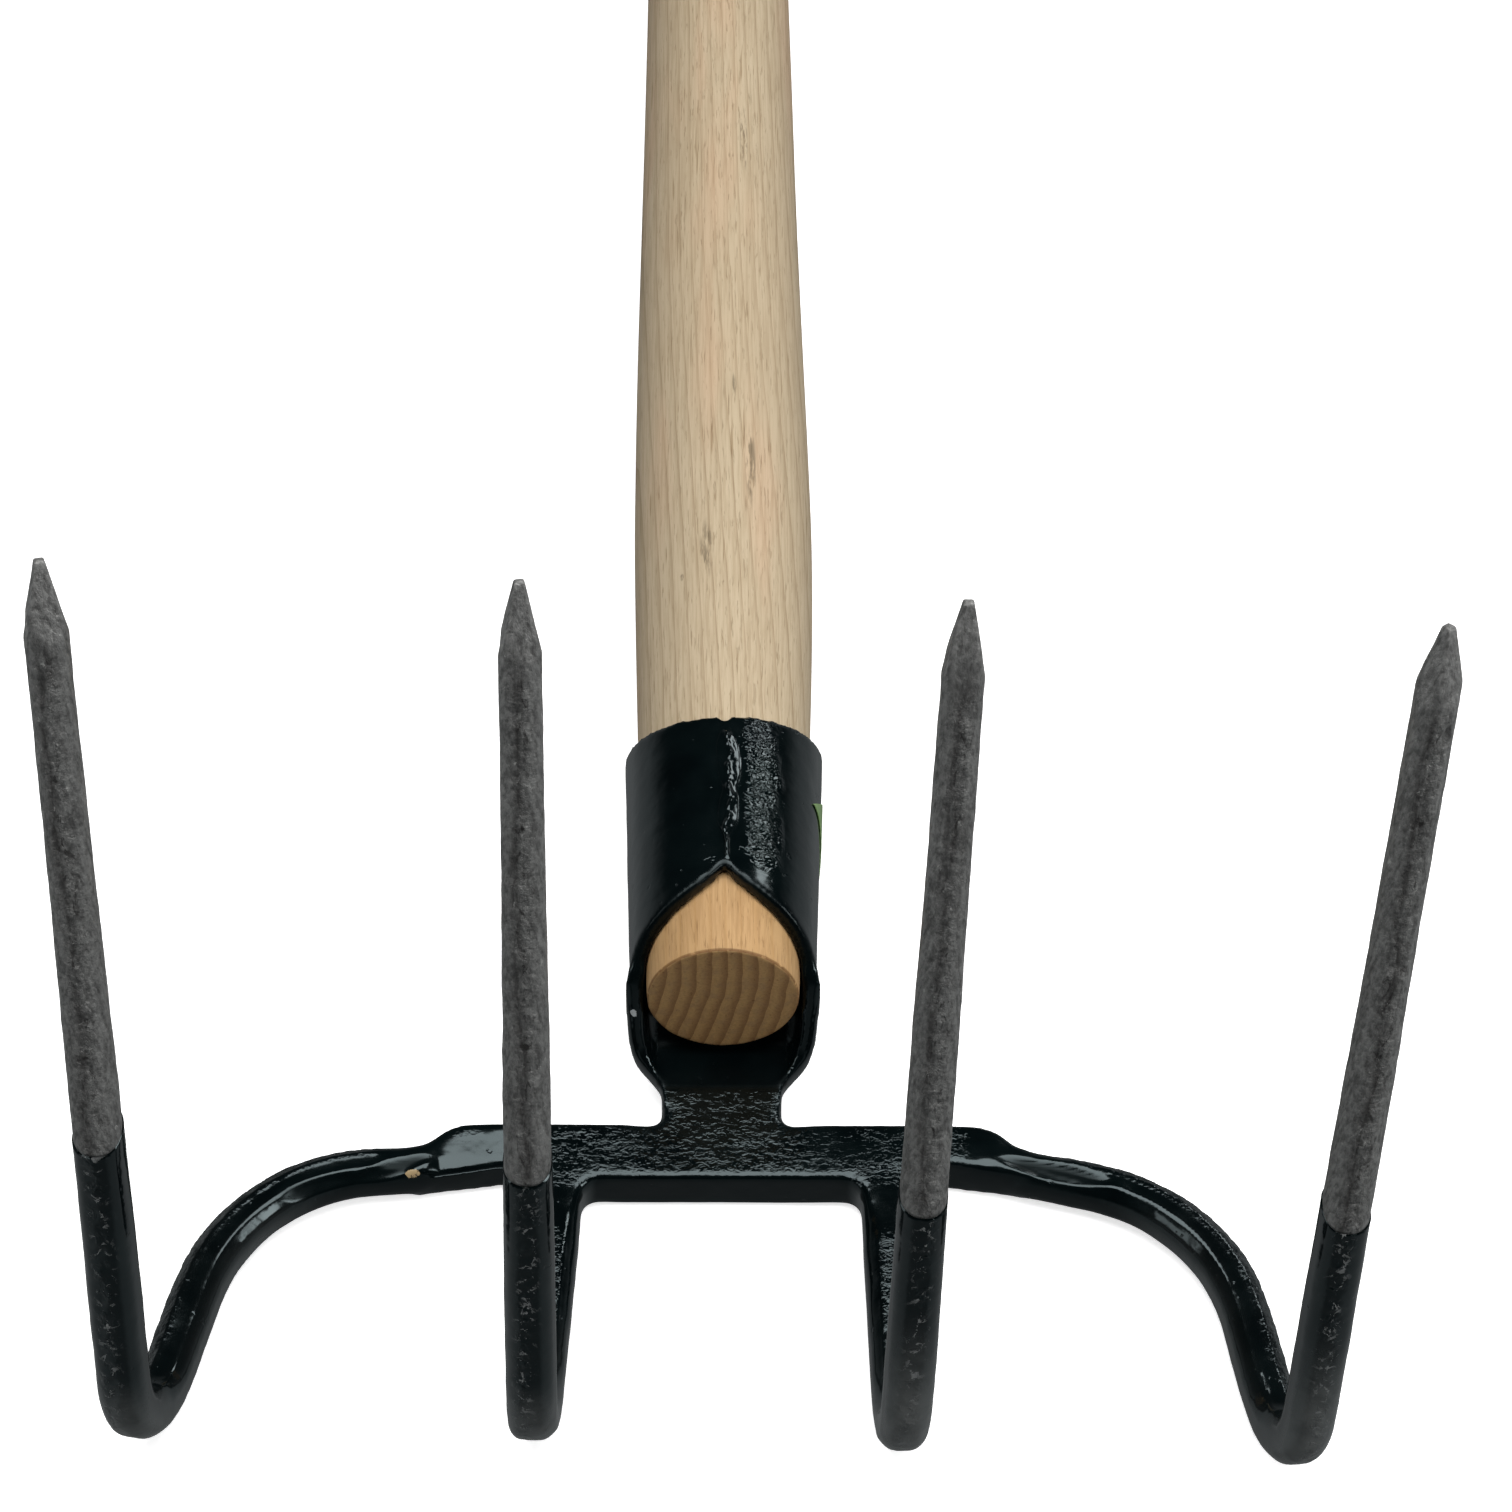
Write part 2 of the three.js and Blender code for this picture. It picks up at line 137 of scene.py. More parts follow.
def ramp(value, start, end):
    """0 at start, 1 at end, smooth between."""
    return smooth((value - start) / (end - start))


def bell(away, spread, power=2):
    """1 where away is 0, falling to 0 over about twice the spread; a higher power is squarer."""
    return np.exp(-((away / spread) ** power))


def unit(v):
    return v / np.linalg.norm(v, axis=-1, keepdims=True)


def lattice_noise(points, size, seed):
    """Smooth noise from -1 to 1 at points, with features of that size; size may differ by axis."""
    place = points / np.asarray(size, float) + 31.7 * (seed + 1)
    cell = np.floor(place).astype(np.int64)
    part = smooth(place - cell)
    total = np.zeros(len(points))
    for corner in itertools.product((0, 1), repeat=3):
        x, y, z = (cell + corner).T
        key = (x * 73856093) ^ (y * 19349663) ^ (z * 83492791) ^ (seed * 2654435761)
        key = (key ^ (key >> 15)) * 2246822519 & 0xFFFFFFFF
        key = (key ^ (key >> 13)) * 3266489917 & 0xFFFFFFFF
        weight = np.prod(np.where(corner, part, 1 - part), axis=1)
        total += weight * ((key >> 8 & 0xFFFF) / 32767.5 - 1)
    return total


def layered_noise(points, size, seed):
    """Three layers of noise, each half the size and half the height of the one before."""
    size = np.asarray(size, float)
    return sum(lattice_noise(points, size / 2**k, seed + 7 * k) / 2**k for k in range(3))


# ---- mesh helpers ----


def add_object(name, data):
    made = bpy.data.objects.new(name, data)
    bpy.context.scene.collection.objects.link(made)
    return made


def mesh_object(name, points, faces):
    """A smooth-shaded object from points in millimetres."""
    mesh = bpy.data.meshes.new(name)
    mesh.from_pydata((np.asarray(points) * MM).tolist(), [], [list(face) for face in faces])
    mesh.polygons.foreach_set("use_smooth", np.ones(len(mesh.polygons), bool))
    mesh.update()
    return add_object(name, mesh)


def rows(items, key, width, kind=float):
    """One row of numbers for each item of a mesh's list."""
    out = np.empty(len(items) * width, kind)
    items.foreach_get(key, out)
    return out.reshape(-1, width)


def points_of(piece):
    return rows(piece.data.vertices, "co", 3) / MM


def normals_of(piece):
    return rows(piece.data.vertex_normals, "vector", 3, np.float32).astype(float)


def edges_of(piece):
    return rows(piece.data.edges, "vertices", 2, np.int32)


def set_points(piece, points):
    piece.data.vertices.foreach_set("co", (points * MM).ravel())
    piece.data.update()


def bowed(points):
    """The points carried sideways with the slightly crooked handle."""
    out = points.copy()
    out[:, 0] += HANDLE_BOW * bell(points[:, 1] - HANDLE_BOW_AT, HANDLE_BOW_SPREAD)
    return out


def store(piece, name, values):
    """Keeps one number for each point, for the piece's material to read."""
    attribute = piece.data.attributes.new(name, "FLOAT", "POINT")
    attribute.data.foreach_set("value", np.clip(values, 0, 1).astype(np.float32))


def closed_sheet(lower, upper, u_steps, v_steps):
    """Points and faces of a sheet between two surfaces, each a function of arrays u and v in 0..1."""
    v, u = np.meshgrid(np.linspace(0, 1, v_steps + 1), np.linspace(0, 1, u_steps + 1), indexing="ij")
    points = np.concatenate([surface(u.ravel(), v.ravel()) for surface in (upper, lower)])
    row, layer = u_steps + 1, u.size
    j, i = np.meshgrid(np.arange(v_steps), np.arange(u_steps), indexing="ij")
    a = (j * row + i).ravel()
    top = np.stack([a, a + 1, a + row + 1, a + row], 1)
    i = np.arange(u_steps)
    far = v_steps * row + i
    near_edge = np.stack([i, layer + i, layer + i + 1, i + 1], 1)
    far_edge = np.stack([far, far + 1, layer + far + 1, layer + far], 1)
    left = np.arange(v_steps) * row
    right = left + u_steps
    left_edge = np.stack([left, left + row, layer + left + row, layer + left], 1)
    right_edge = np.stack([right, layer + right, layer + right + row, right + row], 1)
    return points, np.concatenate([top, top[:, ::-1] + layer, near_edge, far_edge, left_edge, right_edge])


def closed_bar(rings):
    """Points and faces of a bar through rings (stations, points round, 3), closed by a fan at each end."""
    stations, sides, _ = rings.shape
    r, k = np.meshgrid(np.arange(stations - 1), np.arange(sides), indexing="ij")
    a = (r * sides + k).ravel()
    b = (r * sides + (k + 1) % sides).ravel()
    quads = np.stack([a, b, b + sides, a + sides], 1).tolist()
    first, last = stations * sides, stations * sides + 1
    k = np.arange(sides)
    end = (stations - 1) * sides
    fans = [[first, (i + 1) % sides, i] for i in k] + [[last, end + i, end + (i + 1) % sides] for i in k]
    points = np.concatenate([rings.reshape(-1, 3), rings[0].mean(0)[None], rings[-1].mean(0)[None]])
    return points, quads + fans


def joined(parts):
    """One list of points and one of faces from several."""
    points, faces, start = [], [], 0
    for p, f in parts:
        points.append(p)
        faces += [[i + start for i in face] for face in (f.tolist() if hasattr(f, "tolist") else f)]
        start += len(p)
    return np.concatenate(points), faces


def apply_modifier(piece):
    bpy.context.view_layer.update()
    evaluated = piece.evaluated_get(bpy.context.evaluated_depsgraph_get())
    mesh = bpy.data.meshes.new_from_object(evaluated)
    piece.modifiers.clear()
    piece.data = mesh
    mesh.polygons.foreach_set("use_smooth", np.ones(len(mesh.polygons), bool))


def relax(points, edges, weight, rounds):
    """Moves each point towards the middle of its neighbours, by its weight, so many times."""
    count = np.bincount(edges.ravel(), minlength=len(points))[:, None]
    a, b = edges.T
    for _ in range(rounds):
        sums = [np.bincount(a, p[b], len(p)) + np.bincount(b, p[a], len(p)) for p in points.T]
        points = points + (np.stack(sums, 1) / count - points) * weight
    return points


# ---- material helpers ----


def new_material(name):
    material = bpy.data.materials.new(name)
    material.use_nodes = True
    material.node_tree.nodes.clear()
    return material, material.node_tree


def node(tree, kind, inputs=None, **settings):
    made = tree.nodes.new(kind)
    for key, value in settings.items():
        setattr(made, key, value)
    for socket, value in (inputs or {}).items():
        if isinstance(value, bpy.types.NodeSocket):
            tree.links.new(value, made.inputs[socket])
        else:
            made.inputs[socket].default_value = value
    return made


def maths(tree, operation, a, b=0.0, c=0.0):
    return node(tree, "ShaderNodeMath", {0: a, 1: b, 2: c}, operation=operation).outputs[0]


def times(tree, a, b):
    return maths(tree, "MULTIPLY", a, b)


def place_mm(tree, scale=(1, 1, 1)):
    """The surface's place in millimetres, times a scale for each axis."""
    here = node(tree, "ShaderNodeTexCoord").outputs["Object"]
    per_metre = [s / MM for s in scale]
    return node(tree, "ShaderNodeVectorMath", {0: here, 1: per_metre}, operation="MULTIPLY").outputs[0]


def noise(tree, size, detail, roughness=0.5, distortion=0.0, stretch=(1, 1, 1)):
    """Noise from 0 to 1 with features of that size in millimetres, and a scale for each axis."""
    inputs = {
        "Vector": place_mm(tree, stretch),
        "Scale": 1 / size,
        "Detail": detail,
        "Roughness": roughness,
        "Distortion": distortion,
    }
    return node(tree, "ShaderNodeTexNoise", inputs).outputs["Fac"]


def between(tree, value, low, high, to_low=0.0, to_high=1.0):
    """value mapped from low..high to to_low..to_high, and held there beyond."""
    inputs = {0: value, 1: low, 2: high, 3: to_low, 4: to_high}
    return node(tree, "ShaderNodeMapRange", inputs, interpolation_type="SMOOTHSTEP").outputs[0]


def colour_mix(tree, factor, a, b, blend="MIX"):
    a, b = ((*c, 1) if isinstance(c, tuple) else c for c in (a, b))
    kind = dict(data_type="RGBA", clamp_factor=True, blend_type=blend)
    return node(tree, "ShaderNodeMix", {0: factor, 6: a, 7: b}, **kind).outputs[2]


def overlaid(tree, base, *layers):
    """A colour with more colours laid over it, each as strongly as its own factor says."""
    for factor, colour in layers:
        base = colour_mix(tree, factor, base, colour)
    return base


def bumped(tree, *layers):
    """The surface's direction, tilted by layers of bumps of so many millimetres."""
    normal = None
    for height, distance_mm in layers:
        inputs = {"Height": height, "Distance": distance_mm * MM, "Strength": 1.0}
        if normal is not None:
            inputs["Normal"] = normal
        normal = node(tree, "ShaderNodeBump", inputs).outputs[0]
    return normal


def stored(tree, name):
    """A number kept for each point of the piece by store."""
    return node(tree, "ShaderNodeAttribute", attribute_name=name).outputs["Fac"]


def surface(tree, inputs):
    shader = node(tree, "ShaderNodeBsdfPrincipled", inputs)
    node(tree, "ShaderNodeOutputMaterial", {"Surface": shader.outputs[0]})


def srgb(*levels):
    """A colour as the eye reads it, with levels from 11 to 255, as linear light."""
    return tuple(((v / 255 + 0.055) / 1.055) ** 2.4 for v in levels)


# ---- tines ----

BAR_STEP = 0.8
PAINT_THICKNESS = 0.2
PAINT_TRIM = 6  # the bars are made this much too long, and trimmed along their sloping paint lines
DIP_SLOPE = 0.6  # the paint lines slope down to the front, as the tines hung when they were dipped
SECTION_POINTS = 48
TURNS = np.arange(SECTION_POINTS) * 2 * math.pi / SECTION_POINTS
FACET_SHARPNESS = 26  # higher makes crisper edges between the facets
ROUND_SHARPNESS = 10  # the tines above their bends are rounder
CORNER_FACETS = 1.07  # how much further out the corner facets lie than the four main ones


def tine_route(tine):
    """The bar's centre line in even steps, from inside the crossbar to just past the paint line, with
    the direction above the bend, the bend's corner, and its distance to the point."""
    side, lean = tine["side"], math.radians(tine["lean"])
    bend = np.array([*tine["corner"], BAR_MIDDLE])
    rise = np.array([*tine["point"], POINT_Z]) - bend
    reach = np.linalg.norm(rise)
    up = rise / reach
    back = np.array([-side * math.sin(lean), math.cos(lean), 0])
    angle = math.acos(up @ back)
    tangent = BEND_RADIUS / math.tan(angle / 2)
    centre = bend + unit(up + back) * BEND_RADIUS / math.sin(angle / 2)
    on_leg = bend + back * tangent
    on_tine = bend + up * tangent
    if tine["outer"]:
        sweep_end = on_leg + back * 18
        inward = np.array([-side * math.cos(lean), -math.sin(lean), 0])
        sweep_centre = sweep_end + inward * OUTER_SWEEP_RADIUS
        turns = np.linspace(math.radians(80), lean, 20)[:, None]
        spokes = np.hstack([side * np.cos(turns), np.sin(turns), 0 * turns])
        arm_step = [side * (ARM_STEP - 2), ARM_ROD_Y + 1.5, BAR_MIDDLE]
        arm_end = [side * ARM_END, ARM_ROD_Y, BAR_MIDDLE]
        lead = np.vstack([arm_step, arm_end, sweep_centre + OUTER_SWEEP_RADIUS * spokes])
    else:
        lead = np.array([[side * LEG_X, -24, BAR_MIDDLE], [side * LEG_X, LEG_ROOT, BAR_MIDDLE]])
    a, b = unit(on_leg - centre), unit(on_tine - centre)
    turn = math.acos(a @ b)
    t = np.linspace(0, 1, 24)[:, None]
    arc = centre + BEND_RADIUS * (np.sin((1 - t) * turn) * a + np.sin(t * turn) * b) / math.sin(turn)
    route = np.vstack([lead, arc, bend + up * (tine["paint"] + PAINT_TRIM)])
    return even_steps(route, BAR_STEP), up, bend, reach


def even_steps(route, step):
    """The same line in even steps, its corners rounded over a few millimetres."""
    length = np.concatenate([[0], np.cumsum(np.linalg.norm(np.diff(route, axis=0), axis=1))])
    count = int(length[-1] / step)
    even = np.linspace(0, length[-1], count + 1)
    line = np.stack([np.interp(even, length, route[:, k]) for k in range(3)], 1)
    for _ in range(30):
        line[1:-1] = (line[:-2] + 2 * line[1:-1] + line[2:]) / 4
    return line


def directions(line):
    return unit(np.gradient(line, axis=0))


def carried_sideways(along, first):
    """A direction square to the line at each point, carried along it without twisting."""
    sideways = [unit(first - (first @ along[0]) * along[0])]
    for d in along[1:]:
        last = sideways[-1]
        sideways.append(unit(last - (last @ d) * d))
    return np.array(sideways)


def section_shape(turns, sharpness=FACET_SHARPNESS, corner=CORNER_FACETS):
    """The radius of a hammered square bar with its corners beaten down, at these angles."""
    total = 0
    for k in range(8):
        facing = np.maximum(np.cos(turns - k * math.pi / 4), 0)
        reach = corner if k % 2 else 1.0
        total = total + (facing / reach) ** sharpness
    return total ** (-1 / sharpness)


def bar_rings(line, sideways, radius, seed, shape, ease=0.0):
    """Rings of the bar's section. The bar is a little uneven, as hammered bars are."""
    over = np.cross(directions(line), sideways)
    reach = np.asarray(radius)[:, None] * shape + ease
    spokes = np.cos(TURNS)[None, :, None] * sideways[:, None] + np.sin(TURNS)[None, :, None] * over[:, None]
    rings = line[:, None, :] + reach[..., None] * spokes
    flat = rings.reshape(-1, 3)
    push = 0.07 * lattice_noise(flat, (5, 5, 14), seed) + 0.04 * lattice_noise(flat, 2.2, seed + 3)
    return rings + push.reshape(reach.shape)[..., None] * spokes


def painted_bar(line, sideways, outer, seed):
    t = np.linspace(0, 1, len(line))
    root = BAR_RADIUS_ARM if outer else LEG_HALF_WIDTH
    radius = mix(root, BAR_RADIUS_BEND, smooth(t * 2.5))
    radius = mix(radius, BAR_RADIUS_PAINT_LINE, ramp(t, 0.62, 1))
    hidden = 9 if outer else 7  # this much of the bar lies inside the crossbar, and is kept slimmer there
    radius -= 0.7 * ramp(-np.arange(len(line)) * BAR_STEP, -hidden - 3, -hidden + 2)
    rounder = ramp(line[:, 2], BAR_MIDDLE + 3, BAR_MIDDLE + 16)[:, None]
    shape = mix(section_shape(TURNS)[None], section_shape(TURNS, ROUND_SHARPNESS)[None], rounder)
    return closed_bar(bar_rings(line, sideways, radius, seed, shape, PAINT_THICKNESS))


def bar_frame(tine):
    """A tine's centre line and a sideways direction along it, with its direction above the bend and the
    bend's corner. On a leg sideways is -X, and square to both is down; on a tine that is forwards."""
    line, up, bend, _ = tine_route(tine)
    along = directions(line)
    return line, carried_sideways(along, np.cross(along[0], [0, 0, 1])), up, bend


def round_bar(points, line, sideways):
    """For points near a bar: the nearest station of its line, and the angle round it in degrees."""
    nearest = np.empty(len(points), int)
    block = 4000
    for start in range(0, len(points), block):
        away = points[start : start + block, None] - line[None]
        nearest[start : start + block] = (away**2).sum(2).argmin(1)
    over = np.cross(directions(line), sideways)
    spoke = points - line[nearest]
    angle = np.degrees(np.arctan2((spoke * over[nearest]).sum(1), (spoke * sideways[nearest]).sum(1)))
    return nearest, angle % 360


def facing_angle(angle, middle, spread):
    """A bell across an angle round a bar, in degrees."""
    return bell((angle - middle + 180) % 360 - 180, spread)


# how far the four-sided point is turned on each prong, in degrees
POINT_TURNS = {"outer_left": 20, "inner_left": 10, "inner_right": 0, "outer_right": 38}
# height above the shoulder, angle round the prong, half length, half angle, depth
DENTS = {
    "outer_left": [(-8, 73, 2.2, 16, 0.75), (-4, 96, 2.5, 18, 0.3)],
    "inner_left": [(-5, 76, 5, 9, 0.5)],
    "inner_right": [(-1.5, 88, 4.5, 30, 0.6), (-28, 72, 16, 7, 0.4)],
    "outer_right": [(-5, 122, 1.7, 9, 0.8), (-21, 92, 9, 7, 0.45)],
}


def bare_prong(name, tine, seed):
    """The unpainted end of a tine: a slightly tapered bar and a four-sided point."""
    _, up, bend, reach = tine_route(tine)
    paint_line = tine["paint"]
    shoulder = reach - POINT_LENGTH
    distance = np.concatenate(
        [
            [paint_line - 2, paint_line - 0.1],
            np.arange(paint_line + 0.12, shoulder - 1, 0.5),
            np.linspace(shoulder - 1, reach - 0.7, 44),
            [reach - 0.4, reach - 0.15, reach],
        ]
    )
    line = bend + distance[:, None] * up
    bar = mix(BAR_RADIUS_PAINT_LINE, BAR_RADIUS_SHOULDER, ramp(distance, paint_line, shoulder) ** 0.8)
    bar -= 0.8 * (distance < paint_line)  # kept clear of the paint below its line
    point = mix(BAR_RADIUS_SHOULDER, TIP_RADIUS, (distance - shoulder) / (POINT_LENGTH - 0.7))
    radius = np.where(distance > shoulder, np.minimum(bar, point), bar)
    radius[-3:] = np.array([0.93, 0.72, 0.35]) * TIP_RADIUS
    sideways = np.tile(unit(np.array([-1.0, 0, 0]) + up[0] * up), (len(line), 1))
    four_sided = section_shape(TURNS - math.radians(POINT_TURNS[name]), 34, 1.3)
    to_point = ramp(distance, shoulder - 1, shoulder + 4)[:, None]
    shape = mix(section_shape(TURNS, ROUND_SHARPNESS)[None], four_sided[None], to_point)
    rings = bar_rings(line, sideways, radius, seed, shape)
    flat = rings.reshape(-1, 3)
    turns = np.tile(np.degrees(TURNS), len(line))
    height = np.repeat(distance, SECTION_POINTS)
    below_shoulder = ramp(-height, -shoulder - 4, -shoulder + 6)
    wander = 80 + 9 * np.sin(height / 14 + 2 * seed) + 4 * np.sin(height / 3.7)
    seam = facing_angle(turns, wander, 11) * below_shoulder
    rough = facing_angle(turns, 92, 34) * below_shoulder
    push = -0.30 * seam * ramp(lattice_noise(flat, (2.5, 2.5, 7), seed + 20), -0.25, 0.35)
    push += 0.22 * rough * layered_noise(flat, (1.3, 1.3, 2.2), seed + 21)
    push += 0.05 * layered_noise(flat, (1.8, 1.8, 5), seed + 23)
    for at, angle, half_length, half_angle, depth in DENTS[name]:
        dent = facing_angle(turns, angle, half_angle) * bell(height - shoulder - at, half_length, 4)
        push -= depth * dent
        seam = np.maximum(seam, 0.8 * dent)
    push *= ramp(height, paint_line, paint_line + 1.5)
    spokes = unit(rings - line[:, None, :]).reshape(-1, 3)
    dip = DIP_SLOPE * np.repeat(radius, SECTION_POINTS) * np.sin(np.radians(turns))
    dip *= ramp(-height, -paint_line - 16, -paint_line - 2)
    flat = flat + push[:, None] * spokes - dip[:, None] * up
    points, faces = closed_bar(flat.reshape(rings.shape))
    prong = mesh_object("prong_" + name, points, faces)
    fan_middles = [0, 0]
    store(prong, "seam", np.concatenate([seam, fan_middles]))
    store(prong, "rough", np.concatenate([rough, fan_middles]))
    return prong


# ---- head: one forging ----


def handle_radius(y):
    y = np.asarray(y, float)
    seat = mix(HANDLE_END_RADIUS, HANDLE_RADIUS, 1 - (1 - np.clip(y / SEAT_END, 0, 1)) ** SEAT_CURVE)
    return seat + HANDLE_BELLY * bell(y - HANDLE_BELLY_AT, HANDLE_BELLY_SPREAD)


def socket_outer(y):
    return mix(SOCKET_FRONT_RADIUS, SOCKET_MOUTH_RADIUS, (y - SOCKET_FRONT) / (SOCKET_MOUTH - SOCKET_FRONT))


def socket_wall(y):
    return mix(WALL_FRONT, WALL_MOUTH, np.clip((y - SOCKET_FRONT) / 40, 0, 1))


RIM_GROWTH = 1.2  # the rim is made this much too long, because smoothing the forging draws it in
SEAM_GAP = 0.2  # degrees left open on each side of the seam, which the weld covers


def rear_rim(angle):
    a = np.radians(angle)
    return SOCKET_MOUTH + RIM_GROWTH - SOCKET_RIM_TILT * np.cos(a) + 0.6 * np.sin(a)


def front_rim(angle):
    """The plate's front corners are rounded off, so the rim is a pointed arch with its apex at the seam."""
    from_seam = np.minimum(angle, 360 - angle)
    arch = 15.4 - 0.125 * from_seam + 3.6 * np.exp(-from_seam / 12)
    return np.where(from_seam > RIM_ANGLE, SOCKET_FRONT, arch)


def round_handle(angle, radius, y):
    """Points at an angle round the handle, in degrees from the top, which is where the seam is."""
    a = np.radians(angle)
    return np.stack([radius * np.sin(a), np.broadcast_to(y, a.shape), radius * np.cos(a)], 1)


def rolled_socket():
    def side(outside):
        def at(u, v):
            angle = 360 * u
            from_seam = np.minimum(angle, 360 - angle)
            notch = 1.5 * bell(from_seam, 2.6) * (v > 0.5) * (2 * v - 1)
            y = mix(front_rim(angle), rear_rim(angle), v) - notch
            radius = socket_outer(y) - (0 if outside else socket_wall(y))
            return round_handle(SEAM_GAP + (360 - 2 * SEAM_GAP) * u, radius, y)

        return at

    return closed_sheet(side(False), side(True), 240, 60)


# y, half width between the side edges, how far they rise above the floor, the floor's height, thickness
NECK_STATIONS = np.array(
    [
        [-18, 10.8, 0.02, BAR_TOP - 0.7, 7.4],
        [-14.2, 11.2, 0.02, BAR_TOP - 0.3, 8.2],
        [-13, 11.4, 0.02, BAR_TOP, 8.8],
        [-10, 11.3, 0.04, BAR_TOP, 8.2],
        [-7, 11.6, 0.6, BAR_TOP, 6.6],
        [-5, 12.8, 1.7, BAR_TOP, 5.2],
        [-2.6, 14.6, 4.2, BAR_TOP, 4],
        [-0.5, 15.4, 10, BAR_TOP, 3.4],
        [1.2, 15.5, 15, BAR_TOP, 3.1],
        [3, 15.6, 18.8, -17.9, WALL_FRONT],
        [4.5, 15.3, 19.3, -16.6, WALL_FRONT],
        [6.1, 14.97, 19.51, -15.5, WALL_FRONT],
        [8, 15.41, 20.05, -15.95, 2.1],
    ]
)

NECK_FLARE = 0.8  # the walls lean out this much just in front of the socket
NECK_SQUARENESS = 0.45  # 1 is an arched channel; less makes its floor flatter and its sides steeper


def neck():
    places = NECK_STATIONS[:, 0]

    def side(outside):
        def at(u, v):
            y = mix(places[0], places[-1], v)
            half, rise, floor, thickness = (np.interp(y, places, NECK_STATIONS[:, k]) for k in range(1, 5))
            radius = (half**2 + rise**2) / (2 * rise)
            angle = 2 * np.arctan2(rise, half) * (2 * u - 1)
            reach = radius + (thickness if outside else 0)
            flare = NECK_FLARE * bell(y - 2, 3.5) * (2 * u - 1) ** 3 * outside
            arched = np.stack([reach * np.sin(angle) + flare, y, floor + radius - reach * np.cos(angle)], 1)
            turn = (2 * u - 1) * math.pi / 2
            wall = mix(0.6, WALL_FRONT, ramp(y, -9, -1)) * outside
            skin = thickness * outside
            x = (half + wall) * np.sign(turn) * np.abs(np.sin(turn)) ** NECK_SQUARENESS
            z = floor - skin + (rise + skin) * (1 - np.cos(turn) ** NECK_SQUARENESS)
            square = np.stack([x + flare, y, z], 1)
            return mix(arched, square, ramp(-y, -5.5, -1)[:, None])

        return at

    return closed_sheet(side(True), side(False), 100, 80)


def crossbar():
    """The plan outline of the bar, extruded, with its edges rounded."""
    leg_in, leg_out = LEG_X - LEG_HALF_WIDTH, LEG_X + LEG_HALF_WIDTH
    rod = BAR_RADIUS_ARM - 0.2
    # each step round the right half is one corner, or the middle and the end of a curve
    steps = [
        [(NECK_HALF_WIDTH, NECK_END)],
        [(NECK_HALF_WIDTH + 0.4, BAR_REAR), (NECK_HALF_WIDTH + NECK_FILLET, BAR_REAR)],
        [(ARM_STEP, BAR_REAR)],
        [(ARM_END - 3, BAR_REAR), (ARM_END, ARM_ROD_Y + rod)],
        [(ARM_END + 2, ARM_ROD_Y + rod)],
        [(ARM_END + 2, ARM_ROD_Y - rod)],
        [(ARM_STEP + 1, BAR_FRONT_ARM - 1.5), (ARM_STEP - 6, BAR_FRONT_ARM)],
        [(leg_out + LEG_FILLET, BAR_FRONT_ARM)],
        [(leg_out, BAR_FRONT_ARM), (leg_out, BAR_FRONT_ARM - LEG_FILLET)],
        [(leg_out, LEG_ROOT)],
        [(leg_in, LEG_ROOT)],
        [(leg_in, BAR_FRONT_MIDDLE - LEG_FILLET)],
        [(leg_in, BAR_FRONT_MIDDLE), (leg_in - LEG_FILLET, BAR_FRONT_MIDDLE)],
    ]
    outline = [np.array([0.0, NECK_END])]
    for step in steps:
        start, middle, end = outline[-1], np.array(step[0], float), np.array(step[-1], float)
        for t in np.linspace(0, 1, 9)[1:] if len(step) == 2 else [1]:
            outline.append((1 - t) ** 2 * start + 2 * t * (1 - t) * middle + t * t * end)
    half = np.array(outline)
    whole = np.vstack([half, (half * [-1, 1])[:0:-1]])
    shape = bmesh.new()
    low = BAR_TOP - BAR_THICKNESS
    face = shape.faces.new([shape.verts.new((x, y, low)) for x, y in whole])
    top = bmesh.ops.extrude_face_region(shape, geom=[face])["geom"]
    lifted = [v for v in top if isinstance(v, bmesh.types.BMVert)]
    bmesh.ops.translate(shape, verts=lifted, vec=(0, 0, BAR_THICKNESS))
    bmesh.ops.recalc_face_normals(shape, faces=shape.faces)
    rims = [e for e in shape.edges if abs(e.verts[0].co.z - e.verts[1].co.z) < 0.1]
    bmesh.ops.bevel(shape, geom=rims, offset=0.6, segments=2, profile=0.5, affect="EDGES")
    shape.verts.ensure_lookup_table()
    points = np.array([v.co for v in shape.verts])
    faces = [[v.index for v in f.verts] for f in shape.faces]
    shape.free()
    return points, faces


VOXEL = 0.62
# what is stored for each point of the head, for its paint to read
PAINT_MARKS = ("pebbled", "hammered", "ridged", "specked", "painted_sheen", "shaded", "rusty", "bared")
FILLETS = [  # places where the forging flows from one part into the next, and how far the flow reaches
    *[((side * LEG_X, -31, BAR_MIDDLE), 6.5) for side in (-1, 1)],
    *[((side * (NECK_HALF_WIDTH + 1), -15.5, BAR_MIDDLE), 4.5) for side in (-1, 1)],
    *[((side * 56, -22, BAR_MIDDLE), 6.5) for side in (-1, 1)],
]
SOFTENED = [((side * 17.5, -1, -6), (3.4, 7.5, 7)) for side in (-1, 1)]  # thin edges, smoothed a little


def near(points, centre, reach):
    """1 at the centre, falling to 0 over about twice the reach; the reach may differ by axis."""
    away = (points - np.asarray(centre)) / np.asarray(reach)
    return np.exp(-(away**2).sum(1))


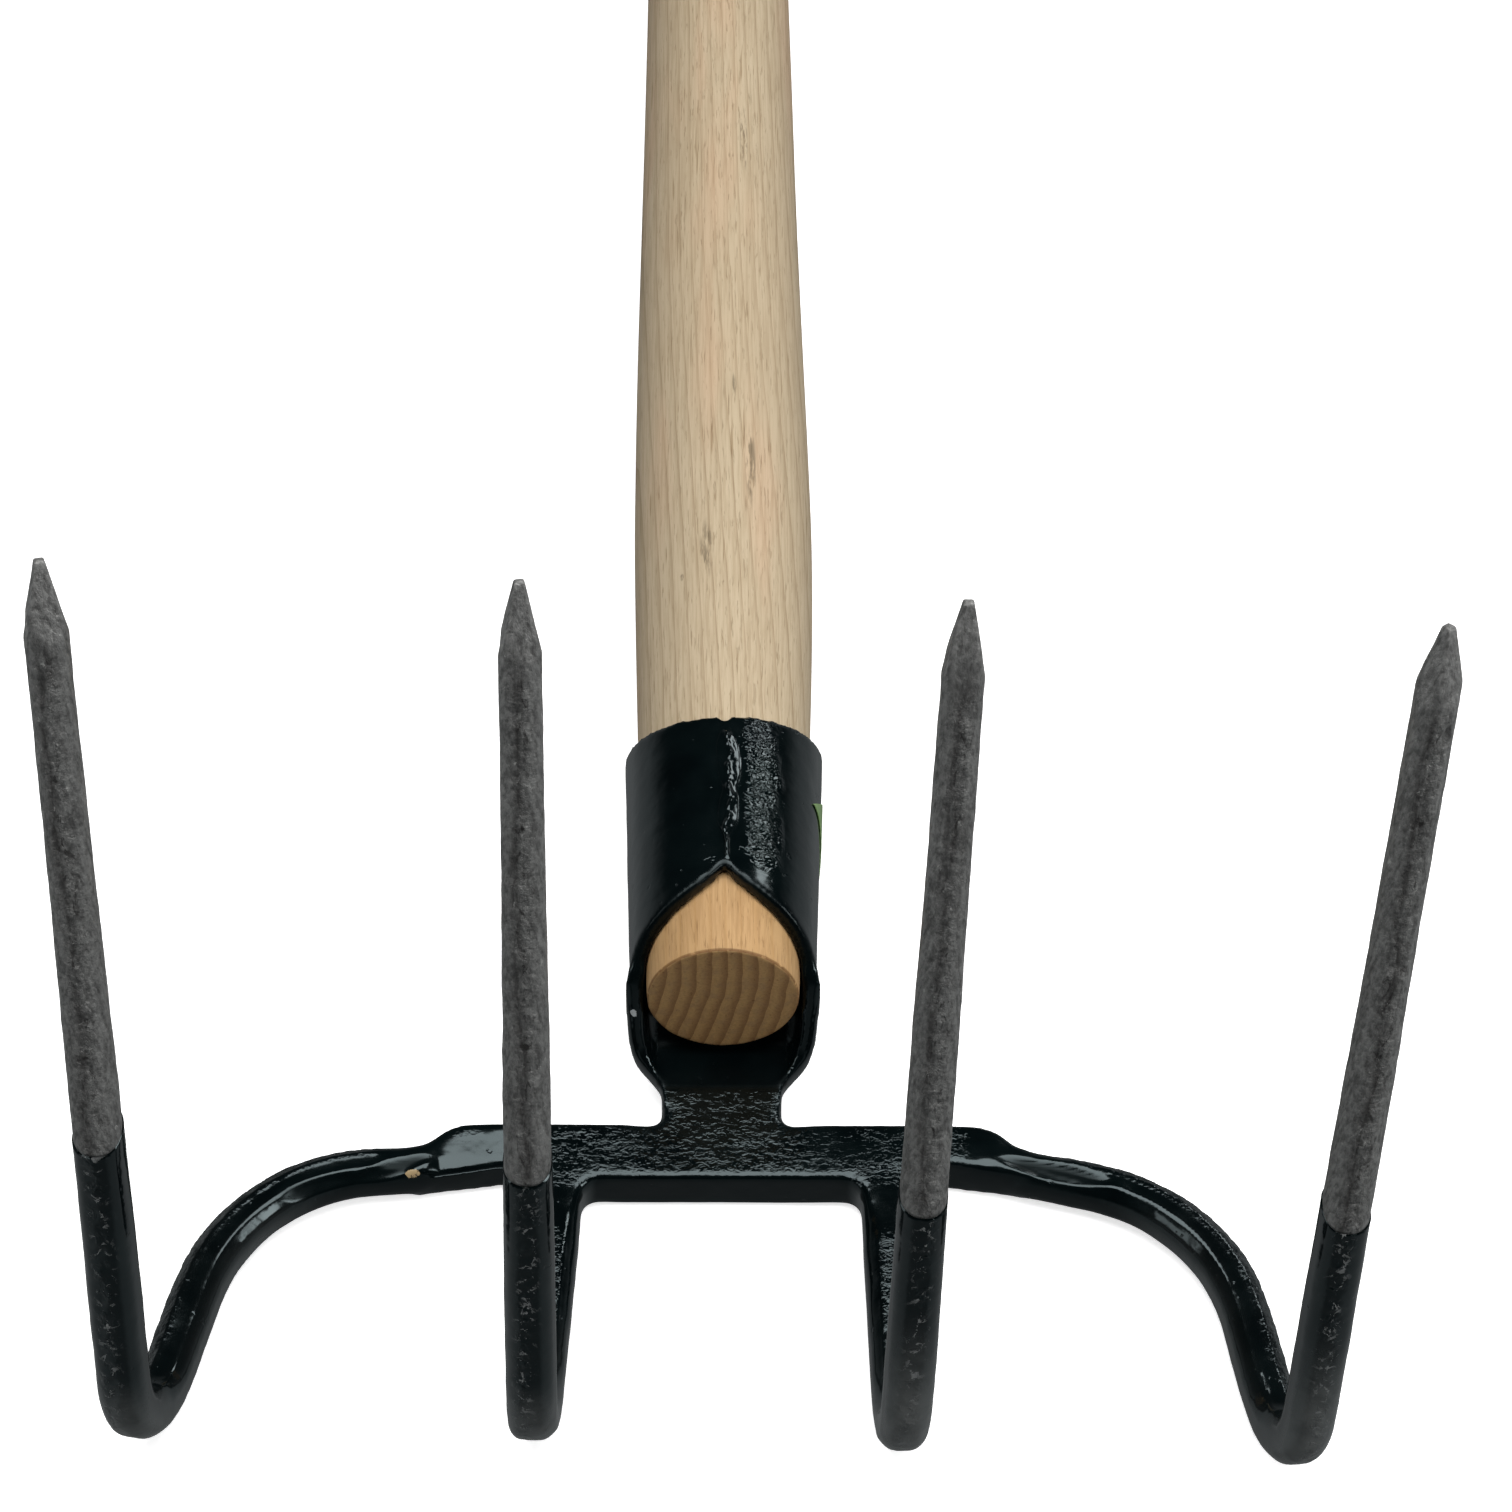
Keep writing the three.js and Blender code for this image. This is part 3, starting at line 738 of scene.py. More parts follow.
def forged_head():
    frames = {name: bar_frame(tine) for name, tine in TINES.items()}
    bars = []
    for seed, (name, tine) in enumerate(TINES.items()):
        line, sideways, _, _ = frames[name]
        bars.append(painted_bar(line, sideways, tine["outer"], seed))
    points, faces = joined([rolled_socket(), neck(), crossbar(), *bars])
    head = mesh_object("forged_head", points, faces)
    remesh = head.modifiers.new("one forging", "REMESH")
    remesh.mode = "VOXEL"
    remesh.voxel_size = VOXEL * MM
    apply_modifier(head)
    edges = edges_of(head)
    points = points_of(head)
    everywhere = np.full((len(points), 1), 0.5)
    points = relax(points, edges, everywhere, 3)
    flow = sum(near(points, centre, reach) for centre, reach in FILLETS)
    points = relax(points, edges, np.clip(flow, 0, 1)[:, None] * 0.6, 40)
    soft = sum(near(points, centre, reach) for centre, reach in SOFTENED)
    points = relax(points, edges, np.clip(1.5 * soft, 0, 1)[:, None] * 0.5, 12)
    set_points(head, points)
    forge_surface(head, frames)
    trim_at_paint_lines(head, frames)
    return head


# hollows beaten into the tops of the arms: middle x and y, direction in plan, half length and width, depth
HOLLOWS = [
    (65, -27.7, -14.4, 11, 1.9, 0.7),
    (-63.5, -27.2, 18.4, 7.5, 1.5, 0.45),
    (-77, -31.6, 17, 8, 1.8, 0.3),
]
HOLLOWS_ABOVE = -21.5  # the hollows are only in the top faces, above this height
RUSTY_CHIP = (-59.9, -28.4, -18.4)
BARED_CHIP = (-17.6, 1, -5.5)
LEFT_FLAT_TILT = 0.14  # the smooth face of the left shoulder falls this much towards the front
TRIM_REACH = 0.009  # metres to each side of a tine within which the trimming cuts
TRIM_ABOVE = 0.02  # and the height in metres above which it does


def hollows(points):
    """How far the tops of the arms are raised or sunk by their hollows, and where the hollows are."""
    x, y, z = points.T
    push, inside = np.zeros((2, len(points)))
    for middle_x, middle_y, turned, half_length, half_width, depth in HOLLOWS:
        c, d = math.cos(math.radians(turned)), math.sin(math.radians(turned))
        along = ((x - middle_x) * c + (y - middle_y) * d) / half_length
        across = ((y - middle_y) * c - (x - middle_x) * d) / half_width
        out = np.sqrt(along**2 + across**2)
        sunk = (z > HOLLOWS_ABOVE) * ramp(-out, -1.1, -0.6)
        rim = (z > HOLLOWS_ABOVE) * bell(out - 1.15, 0.2)
        push += depth * (0.2 * rim - sunk)
        inside += sunk
    return push, inside


def pebbled_places(points, upward):
    """The coarse scale on the top of the right arm and the middle, and a patch on the left arm."""
    x, y, z = points.T
    on_bar = ramp(y, -33, -29) * ramp(-y, 8, 9.2) * (z < -12)
    smooth_spot = near(points, (25, -21.5, -18), (4.5, 3.5, 9))
    pebbled = upward * on_bar * ramp(x, -37.5, -35.5) * ramp(-x, -50, -46) * (1 - 0.8 * smooth_spot)
    pebbled *= 1 - bell(y - BAR_FRONT_MIDDLE - 0.3, 0.9) * (np.abs(x) < 24)
    return pebbled + upward * near(points, (-50.7, -18.8, -18), (2.4, 1.6, 9))


def hammered_places(points, on_socket):
    """The beaten strip along the right side of the weld."""
    x, y, z = points.T
    strip_edge = lattice_noise(points, (1.5, 5, 1.5), 44)
    hammered = on_socket * (z > 0) * ramp(x + strip_edge, 3.2, 4.6)
    hammered *= ramp(-x + 1.2 * strip_edge, -11.8, -9.2)
    return hammered * (ramp(y, 17, 24) * ramp(-y, -61, -57))


def shaded_places(points, hollow):
    """Where the paint's reflections are dimmed by painted shade: inside the socket, at its front rim, in
    the neck's channel and in the hollows.
    """
    x, y, z = points.T
    bore = (np.hypot(x, z) < socket_outer(y) - 0.6 * socket_wall(y)) * ramp(y, 0, 3)
    around = np.degrees(np.arctan2(x, z)) % 360
    rim = 0.75 * bell(y - front_rim(around) - 0.4, 0.9) * (z > -5)
    channel = (np.abs(x) < 13) * (z < -9) * (z > -19) * ramp(y, -8.8, -7.2) * ramp(-y, -9, -6)
    return np.maximum.reduce([bore, rim, channel, hollow])


def tine_surface(points, tine, line, sideways, seed):
    """Which points lie on one tine, and for those how far each is raised, how ridged and specked its paint
    is, and how much painted sheen it gets. Legs have sharp edges and a ridged strip below, tines a rough
    front."""
    x, y, _ = points.T
    inside = np.clip(x, line[:, 0].min(), line[:, 0].max())
    close = (np.abs(x - inside) < 7) & (y < -19) & (x * tine["side"] > 20)
    nearest, angle = round_bar(points[close], line, sideways)
    distance = nearest * BAR_STEP
    rise = line[nearest, 2]
    outside = 180 if tine["side"] > 0 else 360
    strip_middle = mix(outside, 270, 0.5) if tine["outer"] else 270
    on_leg = ramp(distance, 14, 22) * (y[close] < -22) * ramp(-rise, 18, 21)
    ridged = facing_angle(angle, strip_middle, 20) * on_leg
    edges = facing_angle(angle, 292.5, 6) + facing_angle(angle, 247.5, 6)
    edges += facing_angle(angle, mix(strip_middle, outside, 0.4), 6) * tine["outer"]
    specked = facing_angle(angle, 86 + 10 * np.sin(distance / 19 + seed), 20) * ramp(rise, -21, -8)
    bumps = layered_noise(points[close], 1.5, seed + 30)
    raised = 0.32 * edges * on_leg + 0.22 * ridged * bumps
    raised += specked * (0.22 * bumps - 0.04)
    raised *= ramp(tine["paint"] - rise - 26, 0, 3)
    below = 1 - ramp(rise, -16, 14 + 10 * tine["side"])
    # painted sheen: pale grey on the fronts of the bends and the undersides of the legs near them, standing
    # in for the floor's reflection
    painted_sheen = facing_angle(angle, 90, 75) * ramp(distance, 30, 50) * below
    return close, np.array([raised, ridged, specked, painted_sheen])


def forge_surface(head, frames):
    """Gives the head its forged unevenness, and stores where its paint looks different."""
    points, facing = points_of(head), normals_of(head)
    x, y, z = points.T
    upward = ramp(facing[:, 2], 0.35, 0.8)
    on_socket = (np.hypot(x, z) > socket_outer(y) - 0.8) & (y > 5)
    on_left_flat = ramp(-x, 35.5, 38) * ramp(x, -58, -54) * (z > -20) * (y < -15)
    pebbled = pebbled_places(points, upward)
    hammered = hammered_places(points, on_socket)
    push = 0.05 * lattice_noise(points, 9, 1) + 0.03 * lattice_noise(points, 4, 2)
    push *= 1 - 0.85 * on_left_flat
    push += pebbled * 0.06 * layered_noise(points, (2.2, 1.4, 2), 3)
    push += hammered * 0.12 * layered_noise(points, (1.8, 1.6, 1.8), 5)
    sunk_push, sunk = hollows(points)
    push += sunk_push * upward
    undercut = bell(np.abs(x - bead_middle(y)) - bead_half_width(y) - 0.5, 0.45)
    push -= 0.28 * undercut * on_socket * (z > 0) * ramp(y, 23, 27) * ramp(-y, -57, -54)
    on_tines = np.zeros((4, len(points)))
    for seed, (name, tine) in enumerate(TINES.items()):
        line, sideways, _, _ = frames[name]
        close, here = tine_surface(points, tine, line, sideways, seed)
        on_tines[:, close] += here
    raised, ridged, specked, painted_sheen = on_tines
    forged = points + (push + raised)[:, None] * facing
    forged[:, 2] -= LEFT_FLAT_TILT * np.clip(-17 - y, 0, 9) * on_left_flat
    set_points(head, forged)
    shaded = shaded_places(points, 0.85 * sunk * upward)
    rusty = near(forged, RUSTY_CHIP, (1.9, 1.1, 3))
    bared = near(forged, BARED_CHIP, (0.9, 1.3, 1.5))
    marks = (pebbled, hammered, ridged, specked, painted_sheen, shaded, rusty, bared)
    for mark, values in zip(PAINT_MARKS, marks):
        store(head, mark, values)


def trim_at_paint_lines(head, frames):
    """Cuts the painted bars off at their paint lines, and closes them."""
    shape = bmesh.new()
    shape.from_mesh(head.data)
    for name, tine in TINES.items():
        _, sideways, up, bend = frames[name]
        front = np.cross(up, sideways[-1])
        cut_at = (bend + up * tine["paint"]) * MM
        corners = ((f, f.verts[0].co) for f in shape.faces)
        faces = [f for f, co in corners if abs(co.x - cut_at[0]) < TRIM_REACH and co.z > TRIM_ABOVE]
        verts = dict.fromkeys(v for f in faces for v in f.verts)
        edges = dict.fromkeys(e for f in faces for e in f.edges)
        slope = unit(up + DIP_SLOPE * front)
        cut = bmesh.ops.bisect_plane(
            shape, geom=[*faces, *verts, *edges], plane_co=cut_at, plane_no=slope, clear_outer=True
        )
        rim = [e for e in cut["geom_cut"] if isinstance(e, bmesh.types.BMEdge)]
        bmesh.ops.holes_fill(shape, edges=rim)
    shape.to_mesh(head.data)
    shape.free()
    head.data.update()


# ---- handle ----

# y of each ring of the sawn end, and how much wider it is than the end's own radius
SAWN_END_RINGS = ((0, -12), (0, -6), (0, -0.9), (0.02, -0.42), (0.12, -0.16), (0.35, -0.02), (0.7, 0.03))


def turned(radius, sides):
    """How far the points of a turned piece are from its axis, across it in two directions."""
    turns = np.arange(sides) * 2 * math.pi / sides
    return radius[:, None] * np.cos(turns), radius[:, None] * np.sin(turns)


def ash_handle():
    """A turned handle, thinner towards the socket, sawn square at that end and domed at the other."""
    end_places, end_steps = np.transpose(SAWN_END_RINGS)
    dome = np.linspace(0, math.pi / 2, 14)[1:-1]
    dome_start = HANDLE_LENGTH - DOME_LENGTH
    y = np.concatenate(
        [
            end_places,
            np.arange(2, 60, 2.0),
            np.arange(60, 420, 4.0),
            np.arange(420, dome_start, 12.0),
            dome_start + DOME_LENGTH * np.sin(dome),
        ]
    )
    radius = handle_radius(y)
    radius[: len(end_steps)] = HANDLE_END_RADIUS + end_steps
    past = np.clip((y - dome_start) / DOME_LENGTH, 0, 1)
    radius = np.where(past > 0, HANDLE_RADIUS * np.sqrt(1 - past**2), radius)
    above, aside = turned(radius, 160)
    points, faces = closed_bar(np.stack(np.broadcast_arrays(aside, y[:, None], above), 2))
    points[-1] = (0, HANDLE_LENGTH, 0)
    away = points * [1, 0, 1]
    off_axis = np.linalg.norm(away, axis=1, keepdims=True)
    outward = away / np.maximum(off_axis, 1e-6)
    push = 0.09 * lattice_noise(points, (30, 90, 30), 4) + 0.05 * lattice_noise(points, (9, 60, 9), 6)
    push *= ramp(points[:, 1], 60, 110)
    push += 0.10 * lattice_noise(points, (2.5, 2, 2.5), 8) * ramp(-points[:, 1], -1.2, -0.1)
    push *= off_axis[:, 0] > 10
    return mesh_object("ash_handle", points + push[:, None] * outward, faces)


# ---- weld, label, screw ----


def bead_middle(y):
    return 0.5 + 0.45 * np.sin(y * 0.17 + 1.2) * ramp(y, 22, 32)


def bead_half_width(y):
    """Two lens-shaped runs of weld with a waist between, and a thin tail to the point of the arch."""
    return 0.55 + (1.75 * bell(y - 46, 7.5, 4) + 1.45 * bell(y - 32.5, 5.2, 4))


def weld_bead():
    """The bead that closes the seam: a low wide run with a narrow wandering ridge of cells on it."""
    start, end = SEAM_START - 2.4, SEAM_END + 1.5

    def side(top):
        def at(u, v):
            y = mix(start, end, v)
            across = 2 * u - 1
            offset = across * bead_half_width(y)
            ends = ramp(y, start, start + 2.5) * ramp(-y, -end, -end + 2)
            ridge = 0.35 * np.sin(y * 0.42) + 0.2 * np.sin(y * 1.1)
            cells = 0.75 + 0.25 * np.sin(y * 1.35 + 0.9 * np.sin(y * 0.55)) + 0.1 * np.sin(y * 3.3)
            low_run = 0.4 * np.sqrt(np.clip(1 - across**2, 0, 1))
            height = low_run + 0.6 * cells * bell(offset - ridge, 0.62)
            radius = socket_outer(y) - 0.14 + (height * ends if top else -1.2)
            return round_handle(np.degrees((bead_middle(y) + offset) / radius), radius, y)

        return at

    points, faces = closed_sheet(side(False), side(True), 44, 170)
    push = 0.05 * layered_noise(points, (1.0, 2.0, 1.0), 12)
    points[:, 2] += push * (np.hypot(points[:, 0], points[:, 2]) > socket_outer(points[:, 1]) - 0.1)
    return mesh_object("weld_bead", points, faces)


def sticker():
    """A thin film on the right side of the socket, three-cornered with curved edges."""

    def side(lift):
        def at(u, v):
            y = mix(LABEL["front"], LABEL["rear"], v)
            near_edge = LABEL["near"] + LABEL["slant"] * (LABEL["rear"] - y)
            angle = mix(near_edge, LABEL["far"], u)
            y = y + LABEL["lean"] * (angle - LABEL["near"]) * v
            return round_handle(angle, socket_outer(y) + lift, y)

        return at

    points, faces = closed_sheet(side(LABEL["gap"]), side(LABEL["gap"] + LABEL["thickness"]), 60, 30)
    return mesh_object("sticker", points, faces)


def retaining_screw():
    """A round-headed wood screw with a slot, driven into the handle from the back of the socket."""
    seat = socket_outer(SCREW_AT) + 0.3
    end = handle_radius(SCREW_AT) - SCREW_DEPTH
    shank_steps = 60
    t = np.linspace(0, 1, shank_steps)
    thread = 0.25 * np.abs(np.sin(t * math.pi * 16))
    shank_radius = SCREW_SHANK_RADIUS * ramp(t, -0.02, 0.35) - thread * ramp(-t, -0.8, -0.7)
    dome = np.linspace(0, math.pi / 2, 14)[:-1]
    radius = np.concatenate([np.maximum(shank_radius, 0.15), SCREW_HEAD_RADIUS * np.cos(dome)])
    height = np.concatenate([mix(end, seat, t), seat + 0.25 + (SCREW_HEAD_HEIGHT - 0.25) * np.sin(dome)])
    radius = np.insert(radius, shank_steps, SCREW_HEAD_RADIUS)
    height = np.insert(height, shank_steps, seat)
    aside, along = turned(radius, 72)
    points, faces = closed_bar(np.stack(np.broadcast_arrays(aside, SCREW_AT + along, -height[:, None]), 2))
    in_slot = ramp(-np.abs(points[:, 0]), -0.75, -0.45) * (points[:, 2] < -seat - 0.2)
    points[:, 2] = np.where(in_slot > 0, mix(points[:, 2], -seat - 0.9, in_slot), points[:, 2])
    return mesh_object("retaining_screw", points, faces)


# ---- materials ----

PAINT_DEEP, PAINT_PALE = (0.0006, 0.0018, 0.0022), (0.0014, 0.0034, 0.0038)
# the first grey is a painted sheen at the bends, standing in for reflected light; the second is the grey of
# specks in the paint
PAINTED_SHEEN_GREY, SPECK = (0.16, 0.165, 0.162), (0.17, 0.175, 0.175)
RUST, BARED = (0.42, 0.31, 0.17), (0.42, 0.45, 0.46)
# the second reflection tint is painted shade: the paint's reflections are tinted dark where it is shaded
MIRROR, SHADED_MIRROR = (0.80, 0.97, 1.0), (0.05, 0.06, 0.06)


def black_paint():
    """Thick glossy paint, wrinkled over the coarse scale, with a painted grey sheen at the bends standing
    in for reflected light, chipped on the fronts, and with painted shade dimming its reflections in the
    socket, at its front rim, in the neck's channel and in the hollows.
    """
    material, tree = new_material("black_paint")
    marks = (stored(tree, name) for name in PAINT_MARKS)
    pebbled, hammered, ridged, specked, painted_sheen, shaded, rusty, bared = marks
    wrinkles = noise(tree, 1.15, 2, 0.5, 0.9, stretch=(0.8, 1.2, 1))
    scale = noise(tree, 1.5, 1.5, 0.5, 1.0, stretch=(1, 1.2, 1))
    pebbles = times(tree, pebbled, between(tree, noise(tree, 8, 2), 0.35, 0.6, 0.6))
    blobs = between(tree, noise(tree, 1.7, 3, 0.6, 0.5), 0.5, 0.7)
    normal = bumped(
        tree,
        (noise(tree, 4.5, 2), 0.12),
        (times(tree, wrinkles, ridged), 0.4),
        (times(tree, blobs, specked), 0.12),
        (times(tree, wrinkles, pebbles), 0.23),
        (times(tree, scale, hammered), 0.42),
        (between(tree, noise(tree, 2.6, 2, 0.6), 0.68, 0.74), -0.06),
    )
    # patches of the painted sheen at the bends: grey laid into the colour where reflected light would be
    sheen_patches = between(tree, noise(tree, 5, 4), 0.25, 0.6, 0.6)
    flakes = between(tree, noise(tree, 1.9, 4, 0.7, 0.6), 0.57, 0.62)
    ragged = noise(tree, 1.1, 3, 0.6)
    base = overlaid(
        tree,
        PAINT_DEEP,
        (between(tree, noise(tree, 14, 3), 0.35, 0.65), PAINT_PALE),
        (times(tree, painted_sheen, sheen_patches), PAINTED_SHEEN_GREY),
        (times(tree, specked, flakes), SPECK),
        (between(tree, times(tree, rusty, ragged), 0.3, 0.36), RUST),
        (between(tree, times(tree, bared, ragged), 0.3, 0.36), BARED),
    )
    rough = between(tree, noise(tree, 7, 4), 0.3, 0.75, 0.08, 0.17)
    # painted shade: inside the socket, along its front rim, in the neck's channel and in the hollows the
    # reflections are tinted dark and blurred
    rough = maths(tree, "MULTIPLY_ADD", shaded, 0.25, rough)
    mirrored = colour_mix(tree, shaded, MIRROR, SHADED_MIRROR)
    look = {"Base Color": base, "Roughness": rough, "Normal": normal}
    surface(tree, {**look, "Specular IOR Level": 0.5, "Specular Tint": mirrored})
    return material


MILL_SCALE, NICK = (0.035, 0.033, 0.031), (0.52, 0.52, 0.50)
STEEL_DEEP, STEEL_PALE = (0.09, 0.09, 0.087), (0.30, 0.30, 0.292)


def bare_steel():
    """Grey drawn steel, with dark scale in its seam and cracks in the rough strip beside it."""
    material, tree = new_material("bare_steel")
    drawn = (1, 1, 0.5)
    seam, rough_strip = stored(tree, "seam"), stored(tree, "rough")
    mottle = noise(tree, 0.8, 4, 0.65, stretch=drawn)
    streaks = noise(tree, 1.2, 4, 0.6, 0.6, stretch=(1, 1, 0.16))
    sound = between(tree, noise(tree, 1.9, 4, 0.7, 1.0, stretch=(1, 1, 0.3)), 0.33, 0.45)
    tone = maths(tree, "MULTIPLY_ADD", mottle, 0.55, times(tree, streaks, 0.45))
    scale = times(tree, between(tree, streaks, 0.38, 0.58), seam)
    nicks = between(tree, noise(tree, 0.8, 3, 0.65, 0.8, stretch=drawn), 0.66, 0.72)
    base = overlaid(
        tree,
        STEEL_DEEP,
        (between(tree, tone, 0.32, 0.66), STEEL_PALE),
        (times(tree, scale, 0.85), MILL_SCALE),
        (times(tree, maths(tree, "SUBTRACT", 1.0, sound), rough_strip), MILL_SCALE),
        (times(tree, nicks, 0.7), NICK),
    )
    rough = between(tree, mottle, 0.3, 0.7, 0.62, 0.46)
    fine = maths(tree, "MULTIPLY_ADD", noise(tree, 0.5, 3), 0.25, mottle)
    pocks = times(tree, noise(tree, 1.2, 4, 0.6), rough_strip)
    normal = bumped(tree, (fine, 0.3), (pocks, 0.6))
    surface(tree, {"Base Color": base, "Roughness": rough, "Normal": normal, "Metallic": 0.5})
    return material


RING_SPACING = 3.0
PITH = (-75, 10)  # x and z of the tree's middle, beside the handle

WOOD_PALE, WOOD_LATE = srgb(193, 176, 148), srgb(152, 130, 100)
WOOD_PATCH, WOOD_BLUSH = srgb(176, 155, 125), srgb(199, 168, 138)
WOOD_FRONT = srgb(190, 146, 90)  # the wood is browner towards its sawn end
SAWN_EDGE, TORN_EDGE, END_BAND = srgb(210, 168, 112), srgb(118, 82, 46), srgb(150, 111, 72)
BRUISE = srgb(112, 98, 76)
GRAIN_SHADE = (0.62, 0.55, 0.46)

# bruises along the top of the handle: x, y, half width and half length
FLECKS = [
    (6.5, 138, 1.4, 14),
    (3, 166, 0.6, 4),
    (6, 265, 1.1, 15),
    (-3.4, 110, 1.7, 10),
    (-8.7, 103, 0.5, 1.2),
]


def fleck_shape(tree, x, y, z, middle_x, middle_y, half_width, half_length):
    """1 inside one bruise and 0 outside it."""
    aside = maths(tree, "DIVIDE", maths(tree, "SUBTRACT", x, middle_x), half_width)
    along = maths(tree, "DIVIDE", maths(tree, "SUBTRACT", y, middle_y), half_length)
    from_middle = maths(tree, "SQRT", maths(tree, "MULTIPLY_ADD", aside, aside, times(tree, along, along)))
    on_top = between(tree, z, 6.0, 9.0)
    return times(tree, between(tree, from_middle, 0.5, 1.1, 1.0, 0.0), on_top)


def ash_wood():
    """Plain-sawn ash: year rings round a far pith, fibres and pores, bruises, and a rough sawn edge."""
    material, tree = new_material("ash_wood")

    def grain(stretch, size, detail, roughness=0.5):
        """Noise drawn out along the handle."""
        return noise(tree, size, detail, roughness, stretch=(1, stretch, 1))

    x, y, z = node(tree, "ShaderNodeSeparateXYZ", {0: place_mm(tree)}).outputs
    across = maths(tree, "MULTIPLY_ADD", y, 0.012, maths(tree, "SUBTRACT", x, PITH[0]))
    across = maths(tree, "ADD", across, between(tree, y, 40.0, 240.0, -5.0, 0.0))
    depth = maths(tree, "SUBTRACT", z, PITH[1])
    flat = node(tree, "ShaderNodeCombineXYZ", {0: across, 1: depth}).outputs[0]
    from_pith = node(tree, "ShaderNodeVectorMath", {0: flat}, operation="LENGTH").outputs["Value"]
    wavy = maths(tree, "MULTIPLY_ADD", grain(0.2, 5, 1), 0.8, from_pith)
    wavy = maths(tree, "MULTIPLY_ADD", grain(0.03, 15, 1), 1.4, wavy)
    year = maths(tree, "FRACT", maths(tree, "DIVIDE", wavy, RING_SPACING))
    late = maths(tree, "POWER", year, 7.0)
    fibres = grain(0.025, 0.6, 4, 0.65)
    pores = between(tree, grain(0.05, 0.36, 2, 0.6), 0.60, 0.68)
    pores = times(tree, pores, maths(tree, "SUBTRACT", 1.0, late))
    streaks = between(tree, grain(0.035, 1.1, 2), 0.66, 0.73)
    patchy = between(tree, noise(tree, 3, 2), 0.35, 0.55)
    sawn_edge = times(tree, between(tree, y, 0.75, 0.3), patchy)
    ragged = between(tree, noise(tree, 2.2, 3), 0.3, 0.45)
    torn = times(tree, between(tree, y, 0.75, 0.4), ragged)
    base = overlaid(
        tree,
        WOOD_PALE,
        (times(tree, late, 0.75), WOOD_LATE),
        (between(tree, grain(0.15, 22, 3), 0.35, 0.7, 0, 0.3), WOOD_PATCH),
        (between(tree, grain(0.12, 13, 2), 0.5, 0.7, 0, 0.45), WOOD_BLUSH),
        (between(tree, y, 18.0, 52.0, 0.75, 0.0), WOOD_FRONT),
        (times(tree, sawn_edge, 0.6), SAWN_EDGE),
        (times(tree, torn, between(tree, y, 0.06, 0.12, 0.0, 0.8)), TORN_EDGE),
        (times(tree, between(tree, y, 0.25, 0.05), between(tree, year, 0.3, 1.0, 0.12, 0.9)), END_BAND),
    )
    for lines, strength in ((between(tree, fibres, 0.38, 0.66), 0.42), (pores, 0.6), (streaks, 0.75)):
        base = colour_mix(tree, times(tree, lines, strength), base, GRAIN_SHADE, "MULTIPLY")
    broken = between(tree, grain(0.12, 0.8, 3, 0.6), 0.42, 0.6)
    bruises = (times(tree, fleck_shape(tree, x, y, z, *fleck), broken) for fleck in FLECKS)
    base = overlaid(tree, base, *((times(tree, bruise, 0.75), BRUISE) for bruise in bruises))
    normal = bumped(tree, (fibres, 0.06), (pores, -0.06))
    surface(tree, {"Base Color": base, "Roughness": 0.62, "Normal": normal, "Specular IOR Level": 0.3})
    return material


def zinc_steel():
    material, tree = new_material("zinc_steel")
    mottle = noise(tree, 1.2, 4)
    base = colour_mix(tree, between(tree, mottle, 0.3, 0.7), (0.42, 0.42, 0.40), (0.60, 0.60, 0.58))
    rough = between(tree, mottle, 0.3, 0.7, 0.45, 0.3)
    normal = bumped(tree, (mottle, 0.05))
    surface(tree, {"Base Color": base, "Roughness": rough, "Normal": normal, "Metallic": 1.0})
    return material


def label_print():
    """Plain green film."""
    material, tree = new_material("label_print")
    grain = noise(tree, 0.6, 2)
    base = colour_mix(tree, between(tree, grain, 0.3, 0.7), srgb(104, 138, 78), srgb(122, 152, 96))
    surface(tree, {"Base Color": base, "Roughness": 0.35, "Normal": bumped(tree, (grain, 0.01))})
    return material


def pale_floor():
    material, tree = new_material("pale_floor")
    grain = noise(tree, 6, 3)
    base = colour_mix(tree, grain, (0.90, 0.90, 0.90), (0.93, 0.93, 0.93))
    glow = {"Emission Color": (1, 1, 1, 1), "Emission Strength": 0.7}
    surface(tree, {"Base Color": base, "Roughness": 0.9, "Specular IOR Level": 0.1, **glow})
    return material


# ---- making the pieces ----


def finish_piece(piece, material, slot, *nodes):
    set_points(piece, bowed(points_of(piece)))
    piece.data.materials.clear()
    piece.data.materials.append(material)
    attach(piece, "root")
    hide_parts(*nodes)


paint, steel, wood = black_paint(), bare_steel(), ash_wood()
shanks = ["tine_shank_" + name for name in TINES]
finish_piece(forged_head(), paint, "black_paint", "socket", "neck", "crossbar", *shanks)
finish_piece(weld_bead(), paint, "black_paint", "socket_seam_weld")
for seed, (name, tine) in enumerate(TINES.items()):
    finish_piece(bare_prong(name, tine, seed), steel, "bare_steel", "tine_prong_" + name)
finish_piece(ash_handle(), wood, "ash_wood", "handle_shaft")
finish_piece(retaining_screw(), zinc_steel(), "zinc_steel", "handle_screw")
finish_piece(sticker(), label_print(), "label_print", "label")

# ---- floor, light and camera ----

FLOOR_REACH = 6000
FLOOR_BELOW = -27.4
FLOOR_TILT = math.atan((HANDLE_RADIUS + FLOOR_BELOW) / -HANDLE_LENGTH)


def make_floor():
    """The tool lies on its head and on the far end of its handle, so the floor tilts a little."""
    corners = [(x * FLOOR_REACH, y * FLOOR_REACH, 0) for x, y in ((-1, -1), (1, -1), (1, 1), (-1, 1))]
    floor = mesh_object("floor", corners, [(0, 1, 2, 3)])
    floor.location = (0, 0, FLOOR_BELOW * MM)
    floor.rotation_euler = (FLOOR_TILT, 0, 0)
    floor.data.materials.append(pale_floor())
    floor.visible_glossy = False  # the paint mirrors a dark ground instead
    floor.visible_diffuse = False
    floor.visible_shadow = False


